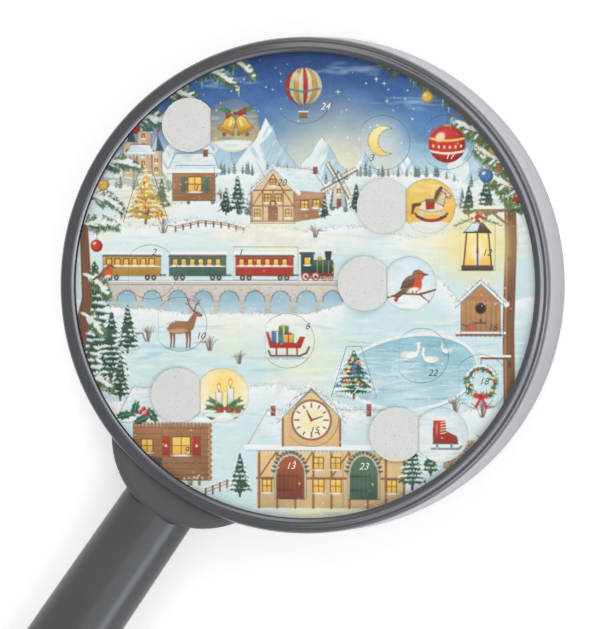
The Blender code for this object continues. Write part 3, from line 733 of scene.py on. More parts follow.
height_share = np.clip((up - 48) / 60, 0, 1)
sky = np.stack([
    np.interp(height_share, (0, 0.16, 0.38, 0.7, 1), tones)
    for tones in ((226, 168, 98, 62, 44), (238, 202, 142, 100, 74), (240, 222, 190, 158, 130))
], -1)
sheet[:] = sky + (wash * 14)[..., None] * (0.8, 1.0, 1.1)
glow(14, 52, 46, (252, 238, 196), 0.75)
glow(-70, 58, 30, (240, 226, 214), 0.4)
for _ in range(60):
    x, y = chance.uniform(-90, 90), chance.uniform(62, 106)
    size = chance.uniform(0.4, 1.0)
    dab(x, y, size, size, (252, 244, 190), 0.95)
    if size > 0.75:
        line([(x - 1.5, y), (x, y), (x + 1.5, y)], (0.08, 0.36, 0.08), (252, 240, 170), 0.9)
        line([(x, y - 1.5), (x, y), (x, y + 1.5)], (0.08, 0.36, 0.08), (252, 240, 170), 0.9)
for x0, y0, wide in ((-12, 64, 34), (52, 84, 26), (18, 98, 22), (-40, 94, 24), (66, 62, 20)):
    for _ in range(16):
        dab(
            x0 + chance.normal(0, wide / 3), y0 + chance.normal(0, 1.4), chance.uniform(5, 13),
            chance.uniform(0.7, 2.0), (176, 202, 220), 0.3, chance.normal(0, 0.06), 0.8,
        )

glow(36.4, 66, 17, (226, 232, 226), 0.6)
moon = curve((36.4, 66), (6.9, 6.9), 0.93, 5.36, 40) + curve((39.8, 66), (5.6, 5.6), 4.83, 1.45, 40)
fill(moon, (253, 240, 178), (246, 214, 120))
pencil(moon, True, 0.4)

x, y = -0.5, 91.2
across_gores = np.linspace(-1, 1, 9)
for index, (a, b) in enumerate(zip(across_gores, across_gores[1:])):
    left, right = (curve((x, y), (s * 8.6, 8.6), -1.18, math.pi / 2) for s in (a, b))
    colour = ((206, 70, 56), (250, 240, 210), (238, 188, 84), (250, 240, 210))[index % 4]
    fill(left + right[::-1], np.array(colour) * (1 - 0.22 * abs((a + b) / 2 - 0.25)), np.array(colour) * 0.78)
    pencil(left, cover=0.35)
line([(x - 7.6, 90), (x, 88.6), (x + 7.6, 90)], 0.9, (86, 120, 128), 0.8)
dab(x - 3.0, 95.4, 3.2, 4.4, (255, 250, 236), 0.5, 0.5, 0.9)
for aside in (-3.1, -1.1, 1.1, 3.1):
    line([(x + aside, 83.2), (x + aside * 0.5, 79.6)], 0.22, (92, 76, 66))
planks(x - 1.9, x + 1.9, 76.8, 79.6, (176, 128, 84), 0.9)
line([(x - 2.1, 79.6), (x + 2.1, 79.6)], 0.6, snow)
pencil([(x - 1.9, 76.8), (x + 1.9, 76.8)], cover=0.7)


# Peaks far off

for x, top, half in (
    (-98, 58, 22), (74, 64, 26), (102, 60, 20), (-60, 68, 24), (48, 59, 20), (28, 61, 19),
    (88, 60, 18), (-42, 70, 24), (8, 68, 22), (-18, 77, 27),
):
    tall = top - 38
    left = [(x, top)]
    right = [(x, top)]
    for share in np.linspace(0.12, 1, 8):
        left.append((x - half * share + chance.normal(0, 1.1), top - tall * share ** 0.92))
        right.append((x + half * share + chance.normal(0, 1.1), top - tall * share ** 0.92))
    ridge = [(x + chance.normal(0, 1.6) + 2.5 * s, top - tall * s) for s in np.linspace(0, 1, 7)]
    fill(left + ridge[:0:-1], (244, 248, 248), (224, 238, 240), uneven=7)
    fill(right + ridge[:0:-1], (172, 204, 222), (206, 228, 234), uneven=12)
    for _ in range(int(half)):
        share = chance.uniform(0.05, 0.8)
        spot = (x + half * share * chance.uniform(-0.8, 0.9), top - tall * (share + 0.08))
        dab(
            *spot, 0.9, chance.uniform(3, 8), chance.choice(((150, 188, 212), (236, 244, 246))), 0.5,
            -0.5 if spot[0] > x else 0.5, 0.7,
        )
    pencil(left, cover=0.2)
    pencil(right, cover=0.25)


# Castle on its crag, and the far hills

fill(
    [(-104, 36), (-92, 50), (-86, 49), (-82, 55), (-74, 53), (-66, 52), (-61, 46), (-54, 38)],
    (164, 172, 178), (196, 212, 216), uneven=22,
)
for _ in range(40):
    x = chance.uniform(-94, -60)
    dab(
        x, chance.uniform(42, 52), chance.uniform(2, 6), chance.uniform(0.6, 1.5), snow, 0.8,
        chance.normal(0, 0.5), 0.5,
    )
for x, wide, low, high, roof in (
    (-76.5, 12, 51, 61, 0), (-82, 5.4, 50, 66, 8.5), (-74.5, 6.6, 53, 71, 10), (-68.6, 4.6, 50, 62, 7.5),
):
    fill(oblong(x - wide / 2, low, x + wide / 2, high), (226, 200, 164), (204, 176, 146), uneven=14)
    fill(oblong(x + wide * 0.15, low, x + wide / 2, high), (186, 158, 138), cover=0.55)
    pencil([(x - wide / 2, low), (x - wide / 2, high), (x + wide / 2, high), (x + wide / 2, low)])
    if roof:
        eaves, tip = high - 0.2, high + roof
        cone = [(x - wide / 2 - 0.8, eaves), (x + wide / 2 + 0.8, eaves), (x, tip)]
        fill(cone, (84, 118, 138), (64, 92, 112))
        fill([cone[0], (x - wide * 0.1, eaves), (x, tip)], snow, aqua, 0.9)
        pencil(cone, True)
        line([(x, tip), (x, tip + 2.2)], 0.25, dark_timber)
        fill([(x, tip + 2.2), (x + 2.4, tip + 1.6), (x, tip + 1.0)], red)
    for y in np.arange(low + 3, high - 1.5, 4.2):
        window(x - wide * 0.1, y, 1.1, 1.8, bars=False)
snow_roof([(-83, 60.6), (-70, 60.6), (-72, 64.5), (-81, 64.5)], 1.0)

crest = bank(
    [(-110, 47), (-92, 46), (-66, 44), (-40, 51), (-14, 52),
     (10, 48), (34, 51), (60, 50), (84, 45), (110, 48)],
    (250, 251, 250), (222, 238, 240), 9, 0.9, 31,
)
far_firs(-104, 106, crest, 86, 4.6, (116, 138, 140))
sparkle_along(crest[120:880:14], 1.6, 2.2)
drift(-100, 100, 36, 48, 70, ((190, 218, 228), (232, 242, 244), (248, 244, 226)), 12, 1.0, 0.5, 0.03)


# Hill village: a chalet on door 20, a hut on door 11, a windmill and a chapel of wood

crest = bank(
    [(-110, 34), (-84, 30), (-66, 36), (-48, 40), (-30, 34),
     (-8, 33), (16, 36), (40, 30), (70, 36), (110, 33)],
    (250, 251, 249), (217, 237, 239), 11, 0.8, 41,
)
far_firs(-60, 100, crest, 40, 7, (92, 118, 108))
sparkle_along(crest[60:940:14], 1.8, 2.0)

snow_roof([(-64, 52.4), (-39.5, 52.4), (-42.5, 60.5), (-60, 60.5)], 1.8)
planks(-61.5, -41.5, 38.5, 51.4, (178, 124, 84), 1.8, False)
window(-51, 46.4, 6.4, 6.8)
for x in (-56.4, -45.6):
    planks(x - 1.2, x + 1.2, 43, 49.8, (96, 132, 110), 0.8)
chimney(-46, 59, 3.6)
pencil([(-61.5, 38.5), (-61.5, 51.4)])
pencil([(-41.5, 38.5), (-41.5, 51.4)])
fir(-66.5, 35, 15, (80, 112, 96))
bare_bush(-38, 38, 7)

fill([(-4.4, 29), (9, 31), (9, 42), (-4.4, 44)], (196, 150, 110), (172, 126, 92), uneven=12)
for y in (33.5, 36.5, 39.5):
    pencil([(-4.4, y - 0.6), (9, y + 0.4)], cover=0.4)
window(0, 37, 3.4, 3.8)
window(5.6, 37.4, 3.2, 3.6)
snow_roof([(-14.6, 54.6), (3.6, 53), (11.4, 41.8), (-3.2, 43.2)], 1.6, False)
fill(
    [(-24.8, 28.8), (-4.4, 28.8), (-4.4, 44), (-14.6, 53.2), (-24.8, 44)],
    (238, 214, 170), (224, 190, 144), uneven=12,
)
for y in (29.4, 36.4, 43.6):
    line([(-24.6, y), (-4.6, y)], 0.7, timber)
for x in (-24.4, -19.3, -14.6, -9.9, -4.8):
    line([(x, 29), (x, 43.6)], 0.65, timber)
for brace in (
    ((-24, 36.6), (-19.6, 43.2)), ((-5.2, 36.6), (-9.6, 43.2)),
    ((-19, 44), (-14.6, 51)), ((-10.2, 44), (-14.6, 51)),
):
    line(brace, 0.55, timber)
planks(-16.9, -12.3, 29.4, 36, (150, 78, 62), 1.1)
for x, y, wide in ((-21.9, 33, 2.8), (-7.4, 33, 2.8), (-17, 40, 3.0), (-12.2, 40, 3.0)):
    window(x, y, wide, 3.6)
window(-14.6, 47.2, 2.6, 2.8)
line([(-26.6, 42.2), (-14.6, 54.4), (-2.6, 42.2)], 1.9, snow)
line([(-26.2, 41.1), (-14.6, 52.9), (-3.0, 41.1)], 0.5, deep_aqua, 0.8)
dab(-14.6, 37.4, 3.4, 3.4, (70, 104, 72))
dab(-14.6, 37.4, 1.9, 1.9, (226, 196, 150))
dab(-14.6, 35.8, 1.3, 0.9, red)
sparkle_along([(-26.6, 42.6), (-14.6, 54.8), (3.6, 53.4)], 1.4, 4)
chimney(5, 51, 3.6)

fill([(12.6, 36), (19.4, 36), (18, 47.5), (14, 47.5)], (240, 232, 214), (214, 206, 196), uneven=10)
fill([(16.6, 36), (19.4, 36), (18, 47.5), (16.4, 47.5)], (176, 186, 190), cover=0.6)
snow_roof([(13.2, 47.4), (18.8, 47.4), (16, 52.2)], 0.9, False)
pencil([(12.6, 36), (14, 47.5), (16, 52.2), (18, 47.5), (19.4, 36)])
planks(15, 17.2, 36, 39.6, timber, 0.8)
window(16, 43, 1.5, 1.9, bars=False)
for turn in (0.5, 2.07, 3.64, 5.21):
    middle, tip = np.array([16.0, 48.0]), np.array(toward(16, 48, 9.5, turn))
    aside = np.array([-math.sin(turn), math.cos(turn)]) * 1.7
    heel = middle + (tip - middle) * 0.25
    sail = [heel, tip, tip + aside, heel + aside]
    fill(sail, (250, 244, 226), (232, 222, 200), 0.92)
    line([middle, tip], 0.5, dark_timber)
    for share in np.linspace(0.25, 1, 6):
        start = middle + (tip - middle) * share
        line([start, start + aside], 0.2, timber, 0.8)
    pencil([sail[3], sail[2]], cover=0.6)
dab(16, 48, 1.3, 1.3, dark_timber)

fir(24, 34, 13, (78, 110, 92))
fir(9.5, 31, 9, (70, 102, 86))
fir(-31, 34, 17, (80, 112, 94))
fir(-36.5, 33, 12, (66, 98, 84))
fir(84, 31, 20, (84, 116, 98))
fir(76, 32, 14, (70, 102, 90))
bare_bush(67, 33, 8)

fir(-74, 29.5, 22.5, (226, 178, 76), 0.45, 0.9)
glow(-74, 40, 21, (253, 226, 140), 0.35)
lights = ((255, 250, 214), (250, 214, 96), (214, 84, 62))
for _ in range(64):
    share = chance.uniform(0, 0.92)
    x = -74 + chance.uniform(-9, 9) * (1 - share)
    dab(x, 30.5 + 20 * share, 1.0, 1.0, lights[chance.integers(3)], 0.95)
for ray_end in curve((-74, 52.4), (1.9, 1.9), 0, 2 * math.pi, 9)[:-1]:
    line([(-74, 52.4), ray_end], (0.7, 0.1), (255, 240, 150))


# Snowfield and viaduct with a train, whose carriage is door 1

crest = bank(
    [(-110, 22), (-92, 26), (-74, 27), (-52, 30), (-26, 27), (0, 25), (24, 27), (52, 22),
     (80, 28), (110, 26)],
    (251, 251, 249), (215, 236, 238), 15, 0.8, 51,
)
sparkle_along(crest[40:960:12], 2.0, 2.4)
drift(
    -104, 104, 6, 26, 110, ((198, 226, 232), (246, 248, 248), (250, 243, 208), (214, 232, 236)),
    15, 1.2, 0.5, -0.04,
)
glow(-14, 21, 22, (251, 240, 196), 0.55)
glow(60, 20, 24, (250, 242, 206), 0.5)
rail_fence([(-60, 25), (-48, 27.6), (-36, 26.4), (-28, 24)], 2.6)
bare_bush(-66, 24, 7)
bare_bush(5, 22, 6)

deck = 1.0
for x in np.arange(-101, 42, 12.0):
    fill(oblong(x, -16, x + 12, deck), (222, 214, 202), (196, 194, 190), uneven=14)
    arch = curve((x + 6, -7.4), (4.5, 4.9), 0, math.pi)
    hollow = [(x + 10.5, -16.5), *arch, (x + 1.5, -16.5)]
    fill(hollow, (150, 188, 204), (216, 234, 238), uneven=14)
    for joint in zip(*(curve((x + 6, -7.4), radii, 0, math.pi, 9) for radii in ((4.6, 5), (5.7, 6.1)))):
        line(joint, 0.2, (130, 122, 118), 0.7)
    pencil(hollow[1:-1], cover=0.7)
    for _ in range(12):
        y = chance.uniform(-15, deck - 1)
        start = x + chance.uniform(-1.4, 1.2)
        line([(start, y), (start + chance.uniform(0.8, 1.8), y)], 0.2, (150, 142, 136), 0.6)
    dab(x + 1.5, -16.4, 8, 2.2, snow, 1, 0, 0.4)
line([(-104, deck), (42, deck)], 1.5, (206, 200, 192))
line([(-104, deck + 0.9), (42, deck + 0.9)], 0.9, snow)
line([(-104, deck - 0.9), (42, deck - 0.9)], 0.28, (120, 112, 110), 0.8)
line([(-104, 2.1), (42, 2.1)], 0.25, (96, 92, 94), 0.8)


def carriage(x0, x1, colour):
    """A railway carriage between two places on the track."""
    body = oblong(x0, 4.2, x1, 13)
    fill(body, colour, np.array(colour) * 0.8)
    line([(x0, 8.6), (x1, 8.6)], 0.5, cream)
    for x in np.arange(x0 + 2.8, x1 - 1.5, 4.0):
        window(x, 10.7, 2.4, 2.8, (96, 60, 52), bars=False)
    fill([(x0 - 0.7, 13), (x1 + 0.7, 13), (x1 - 0.4, 14.6), (x0 + 0.4, 14.6)], (118, 112, 112))
    line([(x0 - 0.3, 14.7), (x1 + 0.3, 14.7)], 1.5, snow)
    for x in (x0 + 3.2, x0 + 6.2, x1 - 6.2, x1 - 3.2):
        dab(x, 3.4, 2.5, 2.5, (74, 68, 70))
        dab(x, 3.4, 1.1, 1.1, (196, 186, 170))
    pencil(body, True)
    line([(x1, 4.6), (x1 + 2.4, 4.6)], 0.6, (74, 68, 70))


carriage(-63, -36.5, (92, 128, 112))
carriage(-32, -5, (204, 74, 60))
carriage(-94, -67, (214, 168, 86))
fill(oblong(-1.6, 4, 13.4, 5.6), (150, 60, 50))
fill(oblong(-1.6, 5.4, 4.2, 14.4), (66, 96, 84), (52, 78, 70))
fill([(4.2, 5.4), (13, 5.4), (13.6, 7), (13.6, 10), (13, 11.6), (4.2, 11.6)], (84, 118, 102), (46, 70, 62))
fill([(-2.4, 14.4), (5, 14.4), (4.6, 15.6), (-2, 15.6)], (96, 92, 94))
line([(-2.2, 15.8), (4.8, 15.8)], 1.2, snow)
window(1.4, 11.2, 3, 3.4, (60, 50, 46), bars=False)
fill([(10, 11.4), (12.2, 11.4), (12.8, 15.6), (9.4, 15.6)], (70, 66, 68))
dab(7.2, 12.2, 2.4, 2.2, (214, 168, 86))
for x in (6, 8.6, 11.2):
    line([(x, 5.6), (x, 11.4)], 0.3, (226, 186, 96), 0.9)
for x, size in ((0.6, 4.0), (5.2, 4.0), (9.2, 2.6), (12.2, 2.6)):
    for share, colour in ((1, (186, 60, 50)), (0.72, (230, 222, 206)), (0.3, (150, 50, 44))):
        dab(x, 2.0 + size / 2, size * share, size * share, colour)
line([(0.6, 3.4), (9.4, 3.4)], 0.45, (90, 84, 84))
dab(14, 8.6, 1.4, 2.4, (255, 240, 170))
pencil([(-1.6, 4), (-1.6, 14.4), (4.2, 14.4), (4.2, 11.6), (13, 11.6), (13.6, 9), (13.4, 4)], True)
steam = ((250, 249, 244), (222, 228, 232), (248, 238, 214))
for step in range(46):
    share = step / 45
    dab(
        11 - share * 52 + chance.normal(0, 1.2), 17 + 6 * math.sqrt(share) + chance.normal(0, 1.0),
        3.4 + share * 6, 2.6 + share * 3, steam[step % 3], 0.6 - 0.35 * share, 0.2, 0.6,
    )


# Near slopes, pond with its geese, firs and a stag

crest = bank(
    [(-110, -6), (-92, -10), (-70, -12), (-46, -13.5), (-20, -13), (6, -12.5), (17, -8), (26, 2), (38, 8),
     (50, 9), (62, 3), (72, -8), (90, -8), (110, -5)],
    (250, 251, 250), (211, 234, 237), 17, 0.7, 61,
)
sparkle_along(crest[60:940:12], 1.8, 2.4)
drift(
    -100, 100, -50, -14, 190,
    ((190, 222, 230), (168, 210, 220), (248, 250, 250), (236, 244, 246), (250, 244, 214)),
    14, 1.3, 0.5, 0.02,
)
glow(0, -34, 26, (251, 243, 205), 0.5)
glow(-34, -24, 18, (250, 242, 208), 0.4)
pond = [
    (14, -41), (20, -34), (32, -27), (46, -23), (60, -22), (74, -26), (80, -34), (78, -44), (70, -52),
    (54, -57), (38, -57), (24, -52), (16, -46),
]
smooth_pond = []
for a, b, c in zip(pond, pond[1:] + pond[:1], pond[2:] + pond[:2]):
    for t in (0, 0.25, 0.5, 0.75):
        smooth_pond.append(tuple(
            0.5 * ((1 - t) ** 2 * p + (1 + 2 * t - 2 * t * t) * q + t * t * r) for p, q, r in zip(a, b, c)
        ))
fill(smooth_pond, (156, 202, 218), (196, 224, 230), uneven=20)
drift(
    24, 74, -52, -26, 90, ((128, 182, 204), (214, 234, 240), (240, 240, 222), (110, 164, 190)), 12, 0.7,
)
line(smooth_pond + smooth_pond[:1], 1.5, snow, 0.8)
line([(x, y - 0.9) for x, y in smooth_pond[:34]], 0.5, (120, 176, 196), 0.7)
for _ in range(14):
    x, y, size = chance.uniform(30, 66), chance.uniform(-50, -28), chance.uniform(4, 11)
    scratch = curve((x, y), (size, 0.34 * size), chance.uniform(0, 3), chance.uniform(3.5, 6.5), 14)
    line(scratch, 0.22, (236, 246, 248), 0.8)
for x, y, way, size in ((49, -32, 1, 1.0), (58.5, -34, -1, 0.9), (66, -30, -1, 0.6)):
    dab(x, y, 7 * size, 3.6 * size, (250, 250, 246), 1, 0.1 * way)
    dab(x - 2.6 * way * size, y + 0.6 * size, 3.2 * size, 2.4 * size, (228, 234, 236), 1, 0.5 * way, 0.4)
    neck = spun([(2.8 * way, 0.8), (4.1 * way, 3), (3.6 * way, 5.2)], x, y, size)
    line(neck, 1.0 * size, (250, 250, 246))
    dab(x + 4.0 * way * size, y + 5.5 * size, 1.9 * size, 1.4 * size, (250, 250, 246))
    line(spun([(4.8 * way, 5.4), (6.2 * way, 5.1)], x, y, size), (0.7, 0.2), (232, 140, 60))
    pencil(spun([(-3.4, -0.6), (0, -1.8), (3.2, -0.6)], x, y, size), cover=0.5)
    dab(x, y - 2.8 * size, 7 * size, 1.0, (120, 172, 194), 0.6, 0, 0.5)

fir(23, -50.5, 22, (70, 112, 84), 0.75, 0.86)
lights = (red, lamp_yellow, (86, 140, 190), (226, 120, 60))
for _ in range(26):
    share = chance.uniform(0.05, 0.85)
    x = 23 + chance.uniform(-9, 9) * (1 - share)
    dab(x, -48.5 + 19 * share, 1.5, 1.5, lights[chance.integers(4)])
line([(23, -28.4), (23, -25.8)], (0.4, 0.1), lamp_yellow)
sparkle_along([(13, -50), (23, -52), (33, -50)], 1.5, 3)

for x, base, tall in ((-98, -34, 48), (-90, -44, 34), (-103, -52, 44), (-82.5, -30, 22), (-86, -52, 20)):
    fir(x, base, tall, (74, 106, 84), 0.75, 0.46)
    sparkle_along([(x - 6, base), (x + 6, base)], 1.5, 3)
origin[:] = -57.9, -19.5
for leg in (-4.4, -3.0, 3.0, 4.4):
    line([(leg, -1), (leg + 0.3, -5.6), (leg, -9.4)], (1.5, 0.8, 0.7), (134, 92, 66))
dab(0, 0, 12.4, 5.6, (166, 116, 82), 1, 0.08)
dab(-1, -1.6, 9, 2, (206, 172, 140), 0.8, 0.05, 0.5)
line([(4.6, 0.6), (6.8, 5.4)], (4.0, 2.2), (160, 112, 80))
dab(8.1, 6.2, 4.6, 2.3, (166, 116, 82), 1, -0.35)
dab(9.9, 5.5, 1.0, 0.9, (62, 48, 44))
dab(7.6, 6.7, 0.5, 0.5, (40, 34, 34))
dab(-6.3, 1.2, 1.8, 2.6, (240, 232, 220), 1, 0.5)
for way in (-1, 1):
    stem = np.array([(6.6, 7.0), (5.8 + way * 1.6, 10.4), (6.6 + way * 3.0, 13.0)])
    fork = (stem[1] + stem[2]) / 2
    line(stem, (0.7, 0.5, 0.25), (122, 88, 62))
    line([stem[1], stem[1] + (way * 2.0, 0.8)], (0.5, 0.2), (122, 88, 62))
    line([fork, fork + (-way * 1.0, 1.8)], (0.4, 0.2), (122, 88, 62))
pencil([(-6, 1.6), (-2, 2.9), (3.4, 2.6), (5.4, 5.4)], cover=0.6)
pencil([(-5, -2.4), (0, -3.0), (4.6, -2.2)], cover=0.6)
dab(0, -9.8, 15, 1.7, (150, 196, 210), 0.6, 0, 0.5)
origin[:] = 0
bare_bush(-73, -26, 8)
bare_bush(-44, -30, 7)
bare_bush(-30, -36, 6)

runner = [(-16.6, -30.2), (-15.6, -32.4), (-2, -32.4), (1.0, -31), (2.2, -28.4)]
line(runner, 0.9, (122, 84, 62))
for x in (-13, -8, -3.4):
    line([(x, -32), (x, -28.8)], 0.8, (190, 60, 50))
fill(
    [(-16, -28.9), (-1.6, -28.9), (0.4, -23.6), (-2.2, -23.6), (-3.6, -26.4), (-15, -26.4),
     (-16.6, -21.4), (-18, -21.4)],
    (212, 72, 58), (170, 50, 44),
)
for x, y, wide, high, colour, ribbon in (
    (-12.6, -26.4, 5, 5.4, (92, 140, 178), cream), (-7.4, -26.4, 4.6, 3.8, (240, 206, 106), red),
    (-9.6, -22.4, 4.4, 3.6, (88, 140, 96), lamp_yellow),
):
    box = oblong(x - wide / 2, y, x + wide / 2, y + high)
    fill(box, colour, np.array(colour) * 0.8)
    line([(x, y), (x, y + high)], 0.7, ribbon)
    for way in (-1, 1):
        dab(x + way * 0.9, y + high + 0.5, 1.7, 1.0, ribbon, 1, way * -0.5)
    pencil(box, True)
dab(-8, -33.4, 20, 1.4, (158, 202, 214), 0.7, 0, 0.4)


# Bottom: an inn with a clock gable, a log cabin, a wood pile, all under deep snow

crest = bank(
    [(-110, -52), (-86, -54), (-60, -52), (-34, -47), (-10, -46), (12, -52), (30, -58), (52, -60),
     (74, -58), (110, -52)],
    (251, 252, 251), (215, 236, 239), 16, 0.8, 71,
)
sparkle_along(crest[80:920:12], 1.8, 2.4)
glow(8, -102, 34, (252, 238, 184), 0.7)
glow(-60, -94, 20, (251, 240, 196), 0.6)
drift(
    -80, 80, -106, -56, 150, ((188, 222, 230), (248, 250, 250), (232, 242, 244), (250, 240, 200)), 13, 1.3,
)

planks(-80, -43.6, -90, -63, (176, 126, 88), 2.7, False)
for y in np.arange(-88.6, -63, 2.7):
    dab(-43.8, y, 2.0, 2.4, (206, 164, 118))
    dab(-43.8, y, 1.1, 1.3, (160, 112, 78))
window(-57.4, -74, 8.6, 8.4)
for x in (-64.6, -50.2):
    planks(x - 1.9, x + 1.9, -78.6, -69.4, (198, 72, 58), 1.2)
    dab(x, -74, 1.2, 1.2, cream)
window(-73.4, -74, 5.4, 6)
planks(-71, -66.4, -90, -79.4, (112, 88, 70), 1.1)
snow_roof([(-88, -62), (-41.4, -62), (-47, -47), (-80, -47)], 2.4)
sparkle_along([(-80, -47), (-47, -47)], 1.8, 4)
for x in (-53, -49, -62):
    bare_bush(x, -92, 4)
rail_fence([(-46, -97), (-36, -93), (-26, -91.5)], 4)

planks(-22, 46, -102, -75, (238, 206, 150), 40)
for x in np.arange(-21, 46.5, 8.4):
    line([(x, -102), (x, -75)], 1.1, timber)
for y in (-75.6, -88.5):
    line([(-22, y), (46, y)], 1.1, timber)
for x in np.arange(-21, 38, 16.8):
    line([(x, -88), (x + 8.4, -76)], 0.8, timber)
for middle, *leaf_colours in (
    (-6.5, (172, 92, 62), (132, 70, 50)), (27.5, (96, 128, 106), (70, 100, 84)),
):
    arch = curve((middle, -86.6), (7.6, 9.8), 0, math.pi, 22)
    porch = [(middle + 7.6, -98.2), *arch, (middle - 7.6, -98.2)]
    fill(porch, (214, 196, 172), (190, 172, 152))
    leaf_shape = [(middle + (x - middle) * 0.84, -97.8 + (y + 97.8) * 0.92) for x, y in porch]
    fill(leaf_shape, *leaf_colours)
    for x in np.linspace(middle - 5, middle + 5, 6):
        pencil([(x, -97.6), (x, -84)], cover=0.6)
    for y in (-94, -87.5):
        line([(middle - 5.6, y), (middle + 3.4, y)], (0.9, 0.3), (74, 66, 66))
    dab(middle + 4.2, -91, 1.1, 1.1, (226, 186, 96))
    pencil(porch[1:-1], cover=0.8)
    pencil(leaf_shape, True)
    for step in np.linspace(0.15, math.pi - 0.15, 15):
        spot = (middle + 7.9 * math.cos(step), -86.6 + 10.2 * math.sin(step))
        dab(*spot, 2.2, 1.5, (78, 112, 78), 0.95, step)
        if chance.uniform() < 0.5:
            dab(spot[0], spot[1] + 0.2, 0.9, 0.9, red)
        dab(spot[0], spot[1] + 0.7, 1.5, 0.6, snow, 0.8)
for x in (6.6, 14.6):
    window(x, -92, 5.0, 6.2)
    window(x, -81.6, 4.6, 5.4)
window(40.4, -92, 4.6, 6)
window(-17.4, -92, 4.2, 6)
snow_roof([(-27, -74.4), (51, -74.4), (41, -57), (-17, -57)], 2.6)
sparkle_along([(-17, -57), (41, -57)], 2.0, 4)
fill(
    [(-10.6, -74), (17.2, -74), (17.2, -60), (3.3, -46.6), (-10.6, -60)],
    (240, 212, 160), (222, 184, 132), uneven=10,
)
for beam in (
    ((-10, -73.6), (-10, -60)), ((16.6, -73.6), (16.6, -60)),
    ((-10, -60), (3.3, -47.6)), ((16.6, -60), (3.3, -47.6)),
):
    line(beam, 1.0, timber)
line([(-13, -61.8), (3.3, -45.2), (19.6, -61.8)], 2.2, snow)
line([(-12.6, -63.2), (3.3, -47), (19.2, -63.2)], 0.55, deep_aqua, 0.8)
sparkle_along([(-13, -61.4), (3.3, -44.8), (19.6, -61.4)], 1.8, 5)
dab(3.3, -61.8, 19, 19, timber)
dab(3.3, -61.8, 17, 17, (252, 246, 226))
dab(3.3, -61.8, 12, 12, (250, 234, 180), 0.7, 0, 0.6)
for hour in range(12):
    turn = hour * math.pi / 6
    reaches = (6.4, 7.6) if hour % 3 else (5.8, 7.8)
    mark = [(3.3 + reach * math.sin(turn), -61.8 + reach * math.cos(turn)) for reach in reaches]
    line(mark, 0.6, dark_timber)
line([(3.3, -61.8), (1.0, -57.4)], (1.0, 0.4), (60, 54, 56))
line([(3.3, -61.8), (8.6, -60.0)], (0.8, 0.3), (60, 54, 56))
dab(3.3, -61.8, 1.5, 1.5, red)
chimney(30, -60, 6)
chimney(-14.5, -60, 5)
fir(-30, -96, 20, (80, 114, 88), 0.85)
fir(50, -92, 24, (74, 108, 86), 0.85)
fir(58.5, -86, 15, (86, 118, 92), 0.85)

for row in range(5):
    for column in range(7 - row):
        x, y = 66 + column * 3.4 + row * 1.7, -82 + row * 3.0
        dab(x, y, 3.4, 3.2, (150, 106, 78))
        dab(x, y, 2.7, 2.5, (222, 186, 142))
        dab(x, y, 1.4, 1.3, (196, 154, 112), 0.8)
        pencil(curve((x, y), (1.6, 1.5), 0, 6.3, 9), cover=0.4)
for x in np.arange(71, 86, 2.4):
    dab(x, -68.4 - abs(x - 77) * 0.9, 4.4, 2.6, snow, 1, 0, 0.3)
bare_bush(70, -58, 8)
bare_bush(82, -60, 9)


# Right rim: a post with a lantern for door 12, a bird house for door 16 and a wreath for door 18

line([(95, -66), (94.2, -20), (95.4, 20), (94.6, 48)], 5.4, (140, 98, 70))
line([(93.4, -66), (92.6, -20), (93.8, 20), (93, 48)], 1.2, (182, 136, 98), 0.8)
for x in (92.6, 94.2, 95.8, 97):
    pencil([(x, -66), (x - 0.6, -20), (x + 0.5, 20), (x, 48)], cover=0.55)
for y in (-36, -6, 12, 31):
    dab(94.6, y, 2.0, 2.8, (104, 74, 60), 0.8)
dab(94.8, 48.6, 8, 3.2, snow)
line([(95, 34.4), (79.6, 34.4)], 1.8, (128, 90, 66))
line([(94, 27.6), (86, 33.8)], 1.1, (128, 90, 66))
line([(95, 35.6), (78.6, 35.6)], 1.4, snow)
line([(80, 33.6), (80, 30.2)], 0.5, (70, 66, 68))
glow(80, 18, 24, (254, 228, 140), 0.85)
fill([(73.6, 9), (86.4, 9), (85, 24), (75, 24)], (255, 238, 158), (250, 200, 92), uneven=10)
glow(80, 16, 6, (255, 252, 220), 0.9)
fill(oblong(78.6, 9.4, 81.4, 15.4), (250, 246, 232), (222, 212, 190))
line([(80, 15.2), (80, 19.4)], (1.6, 0.2), (244, 150, 60))
line([(80, 15.4), (80, 18.2)], (0.8, 0.1), (255, 244, 190))
for x0, x1 in ((73.6, 75), (80, 80), (86.4, 85)):
    line([(x0, 9), (x1, 24)], 0.7, (84, 74, 70))
fill(oblong(72.6, 6.8, 87.4, 9.2), (104, 84, 72), (76, 62, 58))
cap = [(73.4, 24), (86.6, 24), (82.4, 28.6), (77.6, 28.6)]
fill(cap, (110, 88, 74), (80, 66, 60))
fill([(73.6, 24.6), (80, 24.8), (81, 28.8), (77.4, 28.8)], snow, aqua)
dab(80, 29.4, 2.4, 1.6, (104, 84, 72))
pencil(cap, True)
for way in (-1, 1):
    for step in range(12):
        spot = (80 + way * (2 + step * 0.75), 30.6 - step * 0.28 + chance.normal(0, 0.3))
        end = (spot[0] + way * 1.4, spot[1] + chance.uniform(-1.2, 0.8))
        line([spot, end], (0.45, 0.15), (76, 112, 78), 0.9)
dab(80, 31.4, 3.0, 2.0, red, 1, 0.5)
dab(82, 31.2, 2.4, 1.4, red, 1, -0.5)
for x in (77.4, 83.4):
    dab(x, 30.6, 1.2, 1.2, (214, 60, 50))

